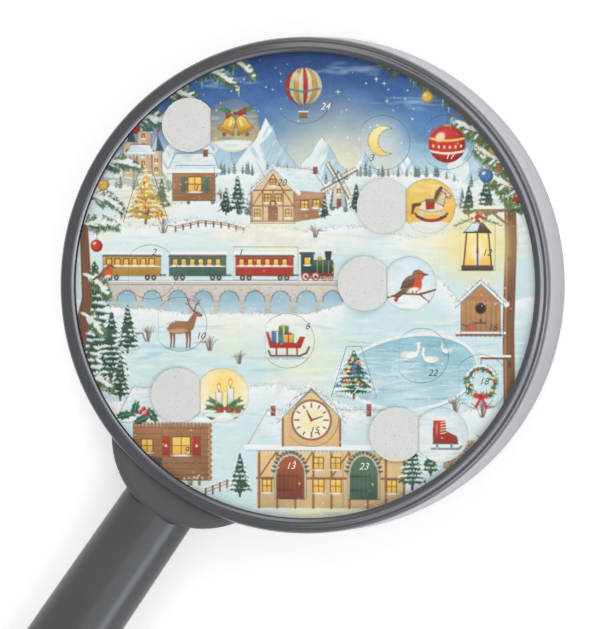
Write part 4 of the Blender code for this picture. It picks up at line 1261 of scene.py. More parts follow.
planks(72.4, 90.6, -22, -6.4, (196, 146, 100), 2.3)
fill([(72.4, -6.6), (90.6, -6.6), (81.5, 1.6)], (206, 158, 110), (180, 130, 90))
dab(81.5, -10.4, 5.2, 5.2, (88, 64, 54))
dab(81.2, -10.8, 3.6, 3.6, (54, 42, 42))
line([(81.5, -15.4), (81.5, -17.2)], 0.9, dark_timber)
line([(79, -17), (84, -17)], 0.7, dark_timber)
line([(69.6, -8.6), (81.5, 2.6), (93.4, -8.6)], 2.5, snow)
line([(69.8, -10.2), (81.5, 0.8), (93.2, -10.2)], 0.6, deep_aqua, 0.8)
line([(70.6, -22.6), (92.6, -22.6)], 1.4, (150, 106, 78))
line([(70.6, -21.6), (92.6, -21.6)], 1.1, snow)
pencil([(72.4, -22), (72.4, -8), (81.5, 0.4), (90.6, -8), (90.6, -22)], True)
sparkle_along([(69.6, -8), (81.5, 3.2), (93.4, -8)], 1.4, 5)
for x in np.arange(71.6, 92, 2.2):
    line([(x, -23.2), (x, -23.2 - chance.uniform(1, 3.6))], (0.6, 0.12), (222, 238, 244), 0.95)
dab(76.8, -18.9, 3.8, 3.2, (150, 112, 84), 1, 0.3)
dab(77.8, -19.2, 2.4, 2.2, (222, 96, 60))
dab(78.4, -17.2, 2.1, 1.9, (150, 112, 84))
line([(79.3, -17.2), (80.3, -17.4)], (0.5, 0.1), (80, 66, 50))
dab(78.7, -17.0, 0.4, 0.4, (30, 26, 28))
line([(75.2, -18.6), (72.6, -17.6)], (1.0, 0.5), (120, 88, 68))

line([(95, -33), (82, -33)], 1.3, (128, 90, 66))
line([(95, -32.2), (81.4, -32.2)], 1.0, snow)
line([(81.7, -33.4), (81.7, -36.6)], 0.3, (90, 84, 80))
for turn in np.linspace(0, 2 * math.pi, 90):
    spot = toward(81.7, -44, 6.3 + chance.normal(0, 0.5), turn)
    for _ in range(3):
        end = toward(*spot, 1.9, turn + chance.normal(1.4, 0.8))
        line([spot, end], (0.55, 0.15), np.array(fir_green) * chance.uniform(0.55, 1.3), 0.9)
for turn in np.linspace(0.3, 6.4, 9):
    dab(*toward(81.7, -44, 6.3, turn), 1.5, 1.5, red if int(turn * 3) % 2 else lamp_yellow)
for turn in np.linspace(0.5, 2.7, 7):
    dab(*toward(81.7, -43.4, 6.8, turn), 2.6, 1.2, snow, 0.9, turn + 1.57, 0.3)
for way in (-1, 1):
    dab(81.7 + way * 2.0, -50.4, 3.6, 2.2, (212, 64, 54), 1, way * 0.4)
    line([(81.7, -50.8), (81.7 + way * 2.4, -55.4)], (0.9, 1.3), (196, 56, 48))
dab(81.7, -50.5, 1.3, 1.5, (168, 44, 40))


# Boughs that hang in from above, with glass balls, cones and a big ball for door 17

for x, y, turn, length in (
    (106, 36, 2.85, 26), (104, 50, 2.7, 36), (98, 64, 2.75, 36), (90, 76, 2.75, 36), (80, 84, 2.8, 36),
    (68, 92, 2.9, 34), (52, 100, 3.0, 30), (34, 106, 3.1, 18), (106, 44, 3.3, 24), (100, 56, 3.3, 22),
    (88, 70, 3.35, 20),
):
    bough(x, y, turn, length, snowy=0.75, green=(100, 120, 70))
for x, y, turn, length in (
    (-56, 100, 0.1, 26), (-70, 90, 0.1, 24), (-84, 76, 0.3, 24), (-97, 54, 0.45, 20), (-104, 26, 0.5, 17),
    (-40, 104, 0.0, 18), (-100, 40, 0.1, 16),
):
    bough(x, y, turn, length, snowy=0.8, green=(84, 112, 84))
bauble(66, 64.4, 8.4, (206, 62, 54), 6)
for y, colour in ((67.2, (246, 214, 112)), (61.4, (250, 240, 220))):
    half = math.sqrt(8.2 ** 2 - (y - 64.4) ** 2)
    line([(66 + s * half, y - 1.1 * (1 - s * s)) for s in np.linspace(-1, 1, 13)], 1.0, colour, 0.9)
for s in np.linspace(-0.8, 0.8, 6):
    dab(66 + s * 8, 64.0 - 0.9 * (1 - s * s), 1.1, 1.5, (250, 232, 170), 0.95)
for x, y, radius, colour in (
    (84, 50, 3.2, (78, 124, 176)), (88, 62, 2.6, (240, 200, 96)), (77.5, 76, 2.8, (222, 90, 60)),
    (57, 86, 2.6, (236, 196, 92)), (99, 40, 2.6, (206, 66, 56)), (-79, 72, 2.4, (206, 66, 56)),
    (-94, 46, 2.6, (236, 196, 92)), (-97, 18, 2.8, (204, 64, 54)),
):
    bauble(x, y, radius, colour, 3)
for x, y in ((72, 80), (90, 54), (58, 92), (96, 48), (-88, 66)):
    dab(x, y, 3.0, 5.6, (138, 98, 68), 1, 0.2)
    for row in range(4):
        for way in (-1, 0, 1):
            dab(x + way * 0.9, y + 1.9 - row * 1.3, 1.1, 0.8, (176, 130, 92), 0.9)
    dab(x - 0.3, y + 2.4, 2.4, 1.2, snow, 0.9)


# Left rim: an old fir stem with a robin, and holly low on the left

line([(-106, -30), (-101.5, -6), (-103, 26)], (7, 5, 4), (134, 94, 70))
for shift in (-1.6, 0, 1.4):
    pencil([(-105.5 + shift, -28), (-101.5 + shift, -6), (-103 + shift, 24)], cover=0.6)
for x, y, turn, length in ((-103, 4, -0.25, 15), (-104, -14, -0.35, 14), (-101, -44, 0.1, 12)):
    bough(x, y, turn, length, snowy=0.85, green=(92, 118, 76))
origin[:] = -92.4, 5.6
dab(0, 0, 6.0, 4.8, (140, 106, 84), 1, 0.5)
dab(1.0, -0.3, 3.8, 3.8, (226, 92, 52))
dab(0.6, -1.8, 3.2, 1.6, (238, 230, 216), 1, 0.3)
dab(1.6, 2.6, 3.4, 3.0, (140, 106, 84))
dab(2.3, 2.2, 2.0, 1.8, (226, 92, 52))
line([(3.1, 2.7), (4.6, 2.5)], (0.7, 0.1), (90, 70, 50))
dab(2.2, 3.1, 0.6, 0.6, (24, 22, 24))
line([(-2.4, -0.8), (-6.2, -3.2)], (1.6, 0.8), (112, 84, 66))
for way in (0.0, 1.2):
    line([(way, -2.2), (way, -4.0)], 0.3, (90, 70, 56))
origin[:] = 0

for x, y, turn in ((-76, -62, 0.4), (-71, -60, 2.2), (-79, -57, 1.3), (-84, -60, 0.2)):
    outline = curve((0, 0), (4.2, 2), 0, 2 * math.pi, 17)[:-1]
    leaf = [(u * 0.72, v * 0.72) if step % 2 == 0 else (u, v) for step, (u, v) in enumerate(outline)]
    leaf = spun(leaf, x, y, 1, turn)
    fill(leaf, (66, 118, 82), (40, 84, 62))
    line(spun([(-3.6, 0), (3.6, 0)], x, y, 1, turn), 0.25, (170, 200, 160), 0.8)
    pencil(leaf, True, 0.5)
for x, y in ((-74, -59.4), (-76.6, -58.6), (-75, -57)):
    dab(x, y, 2.2, 2.2, (204, 54, 46))
    dab(x - 0.4, y + 0.4, 0.6, 0.6, (255, 226, 210))

for _ in range(420):
    x, y = chance.uniform(-106, 106), chance.uniform(-106, 106)
    size = chance.uniform(0.3, 0.9)
    dab(x, y, size, size, (252, 253, 252), 0.75)
sheet += (tooth * 5.0)[..., None] + (wash * 3.0)[..., None] * (1, 0.6, 0.2)
front_picture, front_glitter = np.clip(sheet, 0, 255), glitter.copy()


def taken_from(picture, x, y):
    """The values of a sheet at places on the card, in millimetres, blended between its cells."""
    column = np.clip((x + half_sheet) / cell - 0.5, 0, side - 1.001)
    row = np.clip((y + half_sheet) / cell - 0.5, 0, side - 1.001)
    c, r = column.astype(int), row.astype(int)
    u, v = column - c, row - r
    if picture.ndim == 3:
        u, v = u[:, None], v[:, None]
    lower = picture[r, c] * (1 - u) + picture[r, c + 1] * u
    return lower * (1 - v) + (picture[r + 1, c] * (1 - u) + picture[r + 1, c + 1] * u) * v


def in_linear_light(colours):
    """Colours as they look, from 0 to 255, in linear light."""
    share = np.clip(colours / 255, 0, 1)
    return np.where(share <= 0.04045, share / 12.92, ((share + 0.055) / 1.055) ** 2.4)


# The card's three surfaces: print with glitter on its front, cut board at its edges, a plain back

def shader_group(name, values, results):
    """A new node group: its inputs with their first values, and its outputs. A value is a number or
    a colour; a result is named with the kind of its socket."""
    group = bpy.data.node_groups.new(name, "ShaderNodeTree")
    for label, value in values.items():
        kind = "NodeSocketFloat" if isinstance(value, (int, float)) else "NodeSocketColor"
        socket = group.interface.new_socket(label, in_out="INPUT", socket_type=kind)
        socket.default_value = value
    for label, kind in results.items():
        group.interface.new_socket(label, in_out="OUTPUT", socket_type=kind)
    return group, group.nodes.new("NodeGroupInput"), group.nodes.new("NodeGroupOutput")


def placed(tree, group, **values):
    """A group set down in a material, with its own values."""
    node = add(tree, "ShaderNodeGroup", {"node_tree": group})
    for name, value in values.items():
        node.inputs[name.replace("_", " ")].default_value = value
    return node


def plain_material(name):
    """A new material with its shader and its bump node, joined up."""
    made = bpy.data.materials.new(name)
    made.use_nodes = True
    shader = made.node_tree.nodes["Principled BSDF"]
    bump = add(made.node_tree, "ShaderNodeBump", Strength=0.3, Distance=0.0001)
    made.node_tree.links.new(bump.outputs["Normal"], shader.inputs["Normal"])
    return made, made.node_tree, shader, bump


def surfaced(tree, shader, bump, surface, colour=None):
    """Joins a group's colour, roughness and height to a material. A changed colour may be given."""
    wire(
        tree, (colour or surface.outputs["Colour"], shader.inputs["Base Color"]),
        (surface.outputs["Roughness"], shader.inputs["Roughness"]),
        (surface.outputs["Height"], bump.inputs["Height"]),
    )


def mixed(tree, mode, amount, first, second):
    """A colour mix; each of its three inputs is a socket or a value."""
    node = add(tree, "ShaderNodeMix", {"data_type": "RGBA", "blend_type": mode})
    for index, value in ((0, amount), (6, first), (7, second)):
        if isinstance(value, bpy.types.NodeSocket):
            tree.links.new(value, node.inputs[index])
        else:
            node.inputs[index].default_value = value
    return node.outputs[2]


def spread(tree, value, low, high, new_low, new_high):
    """Stretches the part of a value between two limits to new limits."""
    node = add(tree, "ShaderNodeMapRange", From_Min=low, From_Max=high, To_Min=new_low, To_Max=new_high)
    tree.links.new(value, node.inputs["Value"])
    return node.outputs["Result"]


def noise_at(tree, scale, detail=4.0, roughness=0.6, stretch=None):
    """Noise over the object's own coordinates, in features for each metre."""
    place = add(tree, "ShaderNodeTexCoord").outputs["Object"]
    if stretch:
        mapping = add(tree, "ShaderNodeMapping", Scale=stretch)
        tree.links.new(place, mapping.inputs["Vector"])
        place = mapping.outputs["Vector"]
    node = add(tree, "ShaderNodeTexNoise", Scale=scale, Detail=detail, Roughness=roughness)
    tree.links.new(place, node.inputs["Vector"])
    return node.outputs["Fac"]


# paper fibre: long pale and dark hairs in the pulp, and a fine tooth
fibre, fibre_in, fibre_out = shader_group(
    "paper_fibre", {"Colour": (1.0, 1.0, 1.0, 1.0), "Fleck": 0.3},
    {"Colour": "NodeSocketColor", "Height": "NodeSocketFloat", "Roughness": "NodeSocketFloat"},
)
hairs = noise_at(fibre, 900, 5, 0.7, (1.0, 0.35, 1.0))
cross_hairs = noise_at(fibre, 1300, 3, 0.7, (0.3, 1.0, 1.0))
pulp = noise_at(fibre, 160, 3, 0.5)
flecks = sum_of(fibre, "MULTIPLY", spread(fibre, hairs, 0.6, 0.72, 0, 1), fibre_in.outputs["Fleck"])
shade = mixed(fibre, "MULTIPLY", flecks, fibre_in.outputs["Colour"], (0.62, 0.62, 0.6, 1))
clouds = mixed(fibre, "MIX", pulp, (0.95, 0.95, 0.945, 1), (1.03, 1.03, 1.035, 1))
wire(
    fibre, (mixed(fibre, "MULTIPLY", 1.0, shade, clouds), fibre_out.inputs["Colour"]),
    (sum_of(fibre, "ADD", hairs, cross_hairs), fibre_out.inputs["Height"]),
    (spread(fibre, cross_hairs, 0.3, 0.7, 0.5, 0.72), fibre_out.inputs["Roughness"]),
)

# glitter: small flat grains, strewn where the sheet's glitter is laid. Each grain's brightness, from
# dark to white, is a painted glint standing in for its own tilt to the light
grains, grains_in, grains_out = shader_group(
    "glitter_grains", {"Laid": 0.0, "Size": 1500.0},
    {"Cover": "NodeSocketFloat", "Glint": "NodeSocketColor", "Height": "NodeSocketFloat"},
)
grain_cells = add(grains, "ShaderNodeTexVoronoi", {"feature": "F1"})
wire(
    grains, (add(grains, "ShaderNodeTexCoord").outputs["Object"], grain_cells.inputs["Vector"]),
    (grains_in.outputs["Size"], grain_cells.inputs["Scale"]),
)
grain_edge = spread(grains, grain_cells.outputs["Distance"], 0.55, 0.3, 0, 1)
laid = spread(grains, grains_in.outputs["Laid"], 0.3, 0.7, 0, 1)
grain_tint = add(grains, "ShaderNodeSeparateColor")
wire(grains, (grain_cells.outputs["Color"], grain_tint.inputs["Color"]))
painted_glint = mixed(grains, "MIX", grain_tint.outputs["Red"], (0.34, 0.35, 0.38, 1), (1.0, 1.0, 1.0, 1))
wire(
    grains, (sum_of(grains, "MULTIPLY", grain_edge, laid), grains_out.inputs["Cover"]),
    (painted_glint, grains_out.inputs["Glint"]),
    (sum_of(grains, "MULTIPLY", grain_tint.outputs["Green"], laid), grains_out.inputs["Height"]),
)

printed_face, tree, shader, bump = plain_material("printed_face")
ink = add(tree, "ShaderNodeVertexColor", {"layer_name": "paint"})
stock = placed(tree, fibre, Fleck=0.12)
strewn = placed(tree, grains, Size=1700.0)
# the grains' painted glint is laid into the print's colour
glittered = mixed(tree, "MIX", strewn.outputs["Cover"], stock.outputs["Colour"], strewn.outputs["Glint"])
wire(
    tree, (ink.outputs["Color"], stock.inputs["Colour"]), (ink.outputs["Alpha"], strewn.inputs["Laid"]),
    (glittered, shader.inputs["Base Color"]),
    (spread(tree, strewn.outputs["Cover"], 0, 1, 0.46, 0.24), shader.inputs["Roughness"]),
    (sum_of(tree, "ADD", stock.outputs["Height"], strewn.outputs["Height"]), bump.inputs["Height"]),
)
bump.inputs["Strength"].default_value = 0.22
shader.inputs["Specular IOR Level"].default_value = 0.2

cut_board, tree, shader, bump = plain_material("cut_board")
surfaced(tree, shader, bump, placed(tree, fibre, Colour=linear(196, 190, 180), Fleck=0.6))

plain_back, tree, shader, bump = plain_material("plain_back")
stock = placed(tree, fibre, Colour=linear(217, 218, 214), Fleck=0.3)
dust = spread(tree, noise_at(tree, 1900, 2, 0.5), 0.62, 0.68, 0, 0.55)
dusty = mixed(tree, "MULTIPLY", dust, stock.outputs["Colour"], linear(150, 148, 144))
surfaced(tree, shader, bump, stock, dusty)


def coloured(mesh, picture, grit=None):
    """Stores the print at each vertex of a mesh: its colour in linear light, and where glitter lies."""
    x, y = flat_places(mesh)
    layer = mesh.color_attributes.new("paint", "FLOAT_COLOR", "POINT")
    data = np.zeros((len(x), 4), np.float32)
    data[:, :3] = in_linear_light(taken_from(picture, x, y))
    if grit is not None:
        data[:, 3] = taken_from(grit, x, y)
    layer.data.foreach_set("color", data.ravel())


def flat_places(mesh):
    """Where the vertices of a mesh lie on the card, in millimetres."""
    co = np.zeros(len(mesh.vertices) * 3, np.float32)
    mesh.vertices.foreach_get("co", co)
    return co.reshape(-1, 3)[:, 0] * 1000.0, co.reshape(-1, 3)[:, 1] * 1000.0


x, y = grid((-rim_radius, -rim_radius), (rim_radius, rim_radius), print_spacing)
keep = np.hypot(x, y) < rim_radius - 0.4
for door in doors.values():
    low, high = door["window"].min(axis=0) - 0.4, door["window"].max(axis=0) + 0.4
    near = np.flatnonzero((x > low[0]) & (x < high[0]) & (y > low[1]) & (y < high[1]))
    clear = edge_distance(door["window"], x[near], y[near]) > 0.2
    keep[near] &= clear & ~inside(door["window"], x[near], y[near])
card_mesh = sheet_solid("printed_card", card_loops, x[keep], y[keep], card_front, card_back)
for surface in (printed_face, cut_board, plain_back):
    card_mesh.materials.append(surface)
coloured(card_mesh, front_picture, front_glitter)
printed_card = set_down("printed_card", card_mesh)
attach(printed_card, "frame")
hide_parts("calendar_card")


# Doors
# Each door is the board of its own window, with a number printed on it. The open ones lie folded
# right over to the left and show their plain grey back, a little bowed from being bent open.

dark_ink, tree, shader, bump = plain_material("dark_ink")
surfaced(tree, shader, bump, placed(tree, fibre, Colour=linear(58, 52, 56), Fleck=0.4))
pale_ink, tree, shader, bump = plain_material("pale_ink")
surfaced(tree, shader, bump, placed(tree, fibre, Colour=linear(252, 246, 224), Fleck=0.2))

# where each number stands, from the middle of its door, in millimetres
number_places = {
    1: (-11.8, 5), 2: (0.4, 9), 3: (-6.5, -7), 4: (0, -7.5), 5: (0, 0), 6: (8, 6.6), 7: (0.4, -8.6),
    8: (0, 0), 9: (2.2, -2.2), 10: (8.2, -5.4), 11: (1.8, -2.4), 12: (4.2, -3), 13: (0, 4), 14: (0, 0),
    15: (0, -5), 16: (5.4, -9.2), 17: (0, -6.4), 18: (0, 0.2), 19: (0, 0), 20: (3.8, 6), 21: (0, 0),
    22: (4, -8), 23: (0, 4), 24: (8.8, -6.2),
}
pale_numbers = {7, 13, 17, 23, 24}
ink_thickness = 0.00001
leaf_reach, leaf_bow = 0.0224, 0.0005


def number_mesh(number, x, y):
    """A slanted number as a thin film of ink on the card's face, its middle at a place."""
    letters = bpy.data.curves.new("number", "FONT")
    letters.body = str(number)
    letters.size, letters.shear, letters.extrude = 0.0044, 0.32, ink_thickness
    letters.align_x, letters.align_y = "CENTER", "CENTER"
    holder = bpy.data.objects.new("number", letters)
    mesh = bpy.data.meshes.new_from_object(holder)
    bpy.data.objects.remove(holder)
    mesh.transform(Matrix.Translation((x / 1000, y / 1000, card_front / 1000 + ink_thickness)))
    return mesh


for number, door in doors.items():
    leaf = refined(door["leaf"], 0.5)
    run = (leaf - door["hinge_mm"]) @ door["outward_mm"]
    thinned = leaf + np.outer(np.where(run < 0.6, 0.55 - run * 0.9, 0), door["outward_mm"])
    low, high = leaf.min(axis=0), leaf.max(axis=0)
    x, y = grid(low, high, print_spacing)
    keep = inside(leaf, x, y) & (edge_distance(leaf, x, y) > 0.2)
    mesh = sheet_solid(
        f"door_leaf_{number:02d}", [leaf], x[keep], y[keep], card_front, card_back, [thinned]
    )
    ink_mesh = number_mesh(number, *(door["centre"] + number_places[number]))
    shape = bmesh.new()
    shape.from_mesh(mesh)
    leaf_faces = len(shape.faces)
    shape.from_mesh(ink_mesh)
    shape.faces.ensure_lookup_table()
    for face in shape.faces[leaf_faces:]:
        face.material_index = 3
    shape.to_mesh(mesh)
    shape.free()
    for surface in (printed_face, cut_board, plain_back, pale_ink if number in pale_numbers else dark_ink):
        mesh.materials.append(surface)
    coloured(mesh, front_picture, front_glitter)
    if door["rest_turn"]:
        for vertex in mesh.vertices:
            run = (vertex.co - door["hinge"]).dot(door["outward"]) / leaf_reach
            vertex.co.z += leaf_bow * max(run, 0) ** 2
        mesh.transform(door["shut"].inverted())
    piece = set_down(f"door_leaf_{number:02d}", mesh)
    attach(piece, door["body"])
    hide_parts(f"door_{number:02d}")


# Picture sheet
# A printed paper sheet behind the card, glued to the board. Only the small picture in each window
# shows. They are painted on a second sheet of numbers, each round the middle of its window.

def drawn(points, colour, lower=None, x=0.0, y=0.0, size=1.0, turn=0.0):
    """A small shape filled with colour and drawn round in pencil."""
    points = spun(points, x, y, size, turn)
    fill(points, colour, lower if lower is not None else np.array(colour) * 0.8)
    pencil(points, True, 0.7)


def sprig(x, y, turn, size=6.0):
    """A green sprig with berries."""
    tip = toward(x, y, size, turn)
    line([(x, y), tip], (0.6, 0.25), (106, 84, 60))
    for share in np.linspace(0.05, 1, int(size * 2.2)):
        at = (x + (tip[0] - x) * share, y + (tip[1] - y) * share)
        for way in (-1, 1):
            end = toward(*at, 1.9, turn + way * 0.7)
            line([at, end], (0.5, 0.15), np.array((86, 122, 78)) * chance.uniform(0.6, 1.3), 0.9)


def bell_pair():
    right_side = [(4.4, -3.2), (3.2, 0), (2.6, 3.6), (0.9, 5.4)]
    shape = [(-u, v) for u, v in reversed(right_side)] + right_side
    for way in (-1, 1):
        drawn(shape, (250, 212, 96), (200, 142, 56), way * 3.6, -0.6, 0.92, way * 0.42)
        dab(way * 2.4, 0.8, 1.2, 3.6, (255, 246, 190), 0.8, way * 0.42, 0.6)
        dab(way * 5.4, -4.4, 2.0, 1.8, (150, 100, 60))
        line(spun([(-4.2, -2.2), (4.2, -2.2)], way * 3.6, -0.6, 0.92, way * 0.42), 0.5, (168, 116, 56))
    for way in (-1, 1):
        drawn([(0, 0), (3.8, 2.2), (4.4, -0.4), (0, -0.6)], (214, 66, 54), None, 0, 5.2, 1.1 * way, 0)
        sprig(0, 4.6, math.pi / 2 + way * 1.15, 7.5)
    dab(0, 5.2, 1.7, 1.7, (180, 48, 42))


def rocking_horse():
    hair = (120, 82, 60)
    line(curve((0, 4.0), (10.6, 10.6), -2.35, -0.8), 1.1, (176, 66, 52))
    line(curve((0, 3.3), (10.6, 10.6), -2.3, -0.85), 0.3, (110, 48, 44))
    for foot, knee in (
        ((-4.4, -5.6), (-3.2, -1.6)), ((4.6, -5.4), (3.4, -1.6)),
        ((-6, -5.0), (-4.2, -1.2)), ((6.2, -4.8), (4.2, -1.2)),
    ):
        line([knee, foot], (1.9, 1.2), (226, 206, 176))
        dab(*foot, 1.7, 1.3, (92, 72, 62))
    dab(0, -0.2, 11, 5.2, (240, 226, 198))
    head = [(2.2, 1.6), (5, 6.2), (4.6, 8.4), (6.2, 7.6), (9.4, 4.8), (9, 3.4), (6.8, 4), (5.6, -0.2)]
    drawn(head, (242, 228, 202), (222, 200, 168))
    line([(4.6, 8.2), (3.0, 6.0), (1.6, 2.4)], (1.6, 2.2, 1.2), hair)
    line([(-5.2, 0.8), (-8.0, 0.2), (-8.8, -3.6)], (1.4, 1.9, 0.8), hair)
    drawn([(-2.6, 2.6), (1.8, 2.6), (1.4, -1.4), (-2.2, -1.6)], (204, 66, 54), (170, 50, 44))
    line([(-2.4, 2.8), (1.8, 2.8)], 0.9, (90, 132, 108))
    dab(6.6, 5.8, 0.6, 0.6, (40, 32, 32))
    line([(5.4, 6.6), (7.6, 3.9), (9.0, 4.6)], 0.35, (180, 56, 48))
    pencil([(-5.2, 1.4), (-2.6, 2.5)])
    pencil([(-5, -1.6), (0, -2.9), (5, -1.8)])


def robin_on_twig():
    twig = [(-13, -6.4), (-4, -4.4), (4, -4.8), (13, -2.2)]
    line(twig, (1.5, 1.3, 1.1, 0.6), (122, 88, 66))
    line([(3, -4.6), (8, -8.4)], (0.7, 0.3), (122, 88, 66))
    line([(-12, -5.6), (-4, -3.8), (3, -4.2)], 0.7, snow)
    drawn([(-2.6, -1.2), (-8.4, -5.6), (-7.0, -7.0), (-1.2, -2.8)], (132, 100, 80))
    dab(0, 0, 9.4, 7.6, (150, 114, 90), 1, 0.5)
    dab(1.4, -0.8, 6.2, 6.0, (226, 88, 48), 1, 0.2, 0.25)
    dab(0.6, -2.9, 5.2, 2.2, (244, 238, 226), 1, 0.25, 0.4)
    dab(2.8, 4.0, 5.4, 4.9, (150, 114, 90))
    dab(3.9, 3.2, 3.1, 2.9, (226, 88, 48), 1, 0, 0.25)
    drawn([(0, 0.6), (2.3, 0), (0, -0.5)], (90, 74, 60), None, 5.3, 4.1)
    dab(3.5, 4.8, 0.9, 0.9, (26, 22, 26))
    dab(3.7, 5.0, 0.35, 0.35, (255, 255, 255))
    wing = [(-3.6, 0.6), (1.6, 1.9), (0.8, -1.6), (-4.8, -2.6)]
    drawn(wing, (122, 94, 78), (100, 76, 64), -0.6, 0.2)
    for foot in (0.2, 1.9):
        line([(foot, -3.4), (foot + 0.2, -4.8)], 0.35, (110, 80, 60))
    for berry in ((8.4, -8.8), (9.8, -7.4), (-7.4, -7.4)):
        dab(*berry, 1.9, 1.9, (204, 50, 44))
        dab(berry[0] - 0.3, berry[1] + 0.4, 0.5, 0.5, (255, 220, 210))


def two_candles():
    glow(0, 4, 13, (255, 226, 130), 0.95)
    for way, tall in ((-2.8, 7.4), (2.6, 9.4)):
        foot = -6
        candle = [(-1.5, 0), (1.5, 0), (1.4, tall), (-1.4, tall)]
        drawn(candle, (250, 248, 238), (222, 216, 204), way, foot)
        line([(way - 0.9, foot + tall), (way - 0.9, foot + tall - 2.6)], (0.7, 0.5), (255, 254, 248))
        line([(way, foot + tall), (way, foot + tall + 1.2)], 0.3, (60, 50, 50))
        dab(way, foot + tall + 2.6, 2.0, 3.6, (250, 168, 64), 1, 0, 0.3)
        dab(way, foot + tall + 2.3, 1.1, 2.2, (255, 246, 190))
    for turn in (0.1, 0.55, 2.6, 3.05, 3.7, -0.6):
        sprig(0, -6.4, turn, 8)
    for berry in ((-3.6, -6.4), (-1.6, -7.2), (0.6, -6.2), (3.4, -7.0)):
        dab(*berry, 1.9, 1.9, (206, 54, 46))
    dab(6, -7.2, 3.2, 2.6, (150, 106, 74))
    dab(0, -9.4, 18, 2.4, snow, 0.9, 0, 0.4)


def ice_skate():
    boot = [(-4.6, 7.6), (0.6, 7.6), (1, 1.4), (5.8, -0.8), (6.6, -2.6), (6.2, -3.8), (-4.6, -3.8), (-5, 0)]
    drawn(boot, (206, 74, 58), (160, 54, 48))
    line([(-4.8, 7.4), (0.8, 7.4)], 2.0, (246, 242, 234))
    line([(-4.6, -4.0), (6.4, -4.0)], 0.9, (110, 76, 60))
    for post in (-3, 3.6):
        line([(post, -4.2), (post, -6.2)], 0.9, (120, 132, 144))
    line([(-5.6, -6.6), (6.6, -6.6), (8.2, -5.4)], 0.9, (134, 146, 160))
    for step in range(5):
        line([(-1.4, 5.4 - step * 1.25), (1.2, 5.9 - step * 1.25)], 0.4, (250, 246, 236))
    line([(0.8, 5.8), (4.6, 8.6), (6.2, 6.6), (3.2, 5.2), (0.8, 5.6)], 0.4, (250, 246, 236))
    dab(-3.2, 2.6, 1.0, 5.4, (236, 128, 104), 0.8, 0, 0.6)


def mitten():
    palm = [
        (-3.6, -5), (3.2, -5), (3.8, 0), (3.4, 4.2), (1.6, 7), (-1.6, 7), (-3.6, 4), (-4, 1.2), (-6.4, 3.2),
        (-7.6, 1.8), (-4.6, -2.2),
    ]
    drawn(palm, (88, 132, 176), (62, 98, 146))
    line([(-4.2, -5.6), (3.8, -5.6)], 3.0, (246, 242, 234))
    drawn([(0, 2.2), (1.6, 0.6), (0, -1.4), (-1.6, 0.6)], (248, 240, 220), None, 0, 1.6)


def heart_cookie():
    shape = []
    for t in np.linspace(0, 2 * math.pi, 40):
        rise = 13 * math.cos(t) - 5 * math.cos(2 * t) - 2 * math.cos(3 * t) - math.cos(4 * t)
        shape.append((0.46 * 16 * math.sin(t) ** 3, 0.46 * rise))
    drawn(shape, (176, 112, 70), (140, 84, 54), 0, 0.6)
    line(spun(shape, 0, 0.6, 0.82), 0.5, (252, 246, 236))
    for spot in ((-3, 2.4), (3, 2.4), (0, -2.6)):
        dab(*spot, 1.6, 1.6, (214, 66, 56))
    dab(0, 1, 2.6, 2.6, (252, 246, 236))


def star_cookie():
    shape = []
    for step in range(10):
        reach, turn = (8.4 if step % 2 == 0 else 3.7), math.pi / 2 + step * math.pi / 5
        shape.append(toward(0, 0, reach, turn))
    drawn(shape, (250, 218, 110), (224, 168, 70))
    line(spun(shape + shape[:1], 0, 0, 0.72), 0.4, (255, 248, 214))
    dab(-1.2, 1.4, 2.2, 1.6, (255, 250, 226), 0.8, 0.6, 0.6)


def toy_drum():
    drawn(oblong(-6.4, -4.6, 6.4, 3.4), (204, 68, 56), (168, 50, 46))
    for step in range(5):
        left = -6.4 + step * 2.56
        line([(left, 3.0), (left + 1.28, -4.2), (left + 2.56, 3.0)], 0.35, cream)
    for level in (-4.6, 3.4):
        dab(0, level, 13.4, 3.4, (232, 192, 92))
    dab(0, 3.8, 11.8, 2.6, (250, 246, 232))
    for way in (-1, 1):
        line([(way * 1.2, 4.2), (way * 7.4, 8.6)], 0.6, timber)
        dab(way * 1.2, 4.2, 1.5, 1.2, timber)


def toy_boat():
    drawn([(-8, -1.6), (8.4, -1.6), (6, -5.4), (-6, -5.4)], (190, 70, 56), (150, 52, 46))
    line([(0, -1.6), (0, 6.6)], 0.5, dark_timber)
    drawn([(0.5, 6.2), (0.5, -0.8), (5.6, -0.8)], (250, 246, 232))
    drawn([(-0.5, 5.6), (-0.5, -0.8), (-4.6, -0.8)], (240, 206, 108))
    for step in range(5):
        dab(-9 + step * 4.6, -6 - (step % 2) * 0.5, 4.6, 1.1, (244, 250, 250), 0.9)


def parcel():
    drawn(oblong(-6.4, -6, 6.4, 3), (88, 138, 108), (62, 106, 84))
    drawn(oblong(-7, 2.4, 7, 4.8), (104, 154, 122))
    line([(0, -6), (0, 4.8)], 1.8, (214, 66, 56))
    for way in (-1, 1):
        drawn(curve((way * 2.6, 6.6), (2.6, 1.7), 0, 6.0), (220, 74, 60))
    dab(0, 5.4, 1.8, 1.6, (180, 50, 44))


def sugar_cane():
    path = spun([(0, -8), (0, 3)] + curve((3, 3.6), (3, 3.2), math.pi, 0.0, 9), -1.6, 0, 1, 0.15)
    line(path, 2.5, (250, 246, 240))
    for a, b in zip(path, path[1:]):
        for share in ((0.2, 0.45), (0.7, 0.95)) if abs(b[1] - a[1]) > 5 else ((0.1, 0.55),):
            first, last = (tuple(p + (q - p) * s for p, q in zip(a, b)) for s in share)
            line([first, last], 2.3, (210, 62, 54))
    dab(-1, -1.6, 4.4, 3, (82, 128, 84), 1, 0.5)


